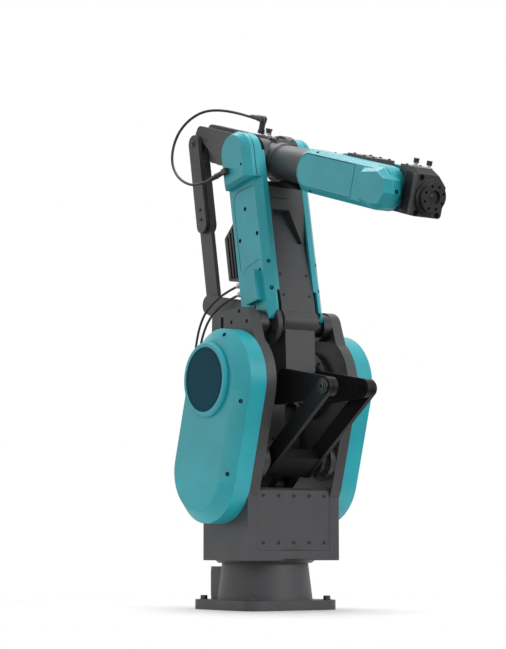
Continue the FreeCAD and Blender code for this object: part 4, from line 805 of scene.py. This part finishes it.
def lay_floor():
    """A pale floor that keeps the shadow and fades out away from the arm."""
    bpy.ops.mesh.primitive_plane_add(size=FLOOR_SIDE, location=(0, 0, 0))
    floor = bpy.context.active_object
    floor.name = "floor"
    paper = bpy.data.materials.new("pale_floor")
    paper.use_nodes = True
    tree = paper.node_tree
    surface = tree.nodes["Principled BSDF"]
    surface.inputs["Base Color"].default_value = FLOOR_GREY
    surface.inputs["Roughness"].default_value = 0.7
    away = tree.nodes.new("ShaderNodeVectorMath")
    away.operation = "LENGTH"
    tree.links.new(tree.nodes.new("ShaderNodeTexCoord").outputs["Object"], away.inputs[0])
    fade = mapped(tree, away.outputs["Value"], FLOOR_FADE, (0.0, 1.0), "SMOOTHSTEP")
    clear = tree.nodes.new("ShaderNodeBsdfTransparent")
    blended = tree.nodes.new("ShaderNodeMixShader")
    tree.links.new(fade, blended.inputs["Fac"])
    tree.links.new(surface.outputs["BSDF"], blended.inputs[1])
    tree.links.new(clear.outputs["BSDF"], blended.inputs[2])
    tree.links.new(blended.outputs["Shader"], tree.nodes["Material Output"].inputs["Surface"])
    floor.data.materials.append(paper)


def larger(tree, first, second):
    """The larger of two sockets' values."""
    made = tree.nodes.new("ShaderNodeMath")
    made.operation = "MAXIMUM"
    tree.links.new(first, made.inputs[0])
    tree.links.new(second, made.inputs[1])
    return made.outputs["Value"]


def backdrop(tree, strength):
    """A white background whose strength a socket gives."""
    made = tree.nodes.new("ShaderNodeBackground")
    made.inputs["Color"].default_value = WHITE
    tree.links.new(strength, made.inputs["Strength"])
    return made.outputs["Background"]


def set_world():
    """White surroundings for the camera and in reflections. The fill is stronger from above and behind."""
    world = bpy.data.worlds.new("studio")
    bpy.context.scene.world = world
    world.use_nodes = True
    tree = world.node_tree
    tree.nodes.clear()
    out = tree.nodes.new("ShaderNodeOutputWorld")
    way = tree.nodes.new("ShaderNodeTexCoord").outputs["Generated"]
    ray = tree.nodes.new("ShaderNodeLightPath").outputs

    along = tree.nodes.new("ShaderNodeVectorMath")
    along.operation = "DOT_PRODUCT"
    along.inputs[1].default_value = BRIGHT_WAY
    tree.links.new(way, along.inputs[0])
    fill = backdrop(tree, mapped(tree, along.outputs["Value"], (-1.0, 1.0), FILL))

    parts = tree.nodes.new("ShaderNodeSeparateXYZ")
    tree.links.new(way, parts.inputs[0])
    ground = mapped(tree, parts.outputs["Z"], GROUND_FROM, (GROUND, 1.0))
    seen = backdrop(tree, larger(tree, ray["Is Camera Ray"], ground))

    direct = larger(tree, ray["Is Camera Ray"], ray["Is Glossy Ray"])
    mix = tree.nodes.new("ShaderNodeMixShader")
    tree.links.new(larger(tree, direct, ray["Is Transmission Ray"]), mix.inputs["Fac"])
    tree.links.new(fill, mix.inputs[1])
    tree.links.new(seen, mix.inputs[2])
    tree.links.new(mix.outputs["Shader"], out.inputs["Surface"])


def lamp(name, at, aim, side, watts):
    """A square area lamp that faces a point."""
    light = bpy.data.lights.new(name, "AREA")
    light.shape = "SQUARE"
    light.size = side
    light.energy = watts
    made = bpy.data.objects.new(name, light)
    made.location = at
    made.rotation_euler = (Vector(aim) - Vector(at)).to_track_quat("-Z", "Y").to_euler()
    bpy.context.scene.collection.objects.link(made)


def set_camera(at, way, lens):
    """A camera at a point, facing along a direction."""
    camera_data = bpy.data.cameras.new("camera")
    camera_data.sensor_width = 36
    camera_data.lens = lens
    camera_data.clip_end = 50
    camera = bpy.data.objects.new("camera", camera_data)
    camera.location = at
    camera.rotation_euler = Vector(way).to_track_quat("-Z", "Y").to_euler()
    bpy.context.scene.collection.objects.link(camera)
    bpy.context.scene.camera = camera


lay_floor()
set_world()
AIM = (0.1, 0.0, 0.7)
lamp("key", (3.0, 0.6, 1.8), AIM, 1.6, 46)
lamp("side", (-2.2, -2.4, 1.6), AIM, 2.4, 4)
lamp("top", (-0.6, 0.3, 3.4), AIM, 2.0, 60)
set_camera((3.8274, -2.7134, 0.1478), (-0.8145, 0.5703, 0.1063), 113.7)
bpy.context.scene.view_settings.view_transform = "Standard"
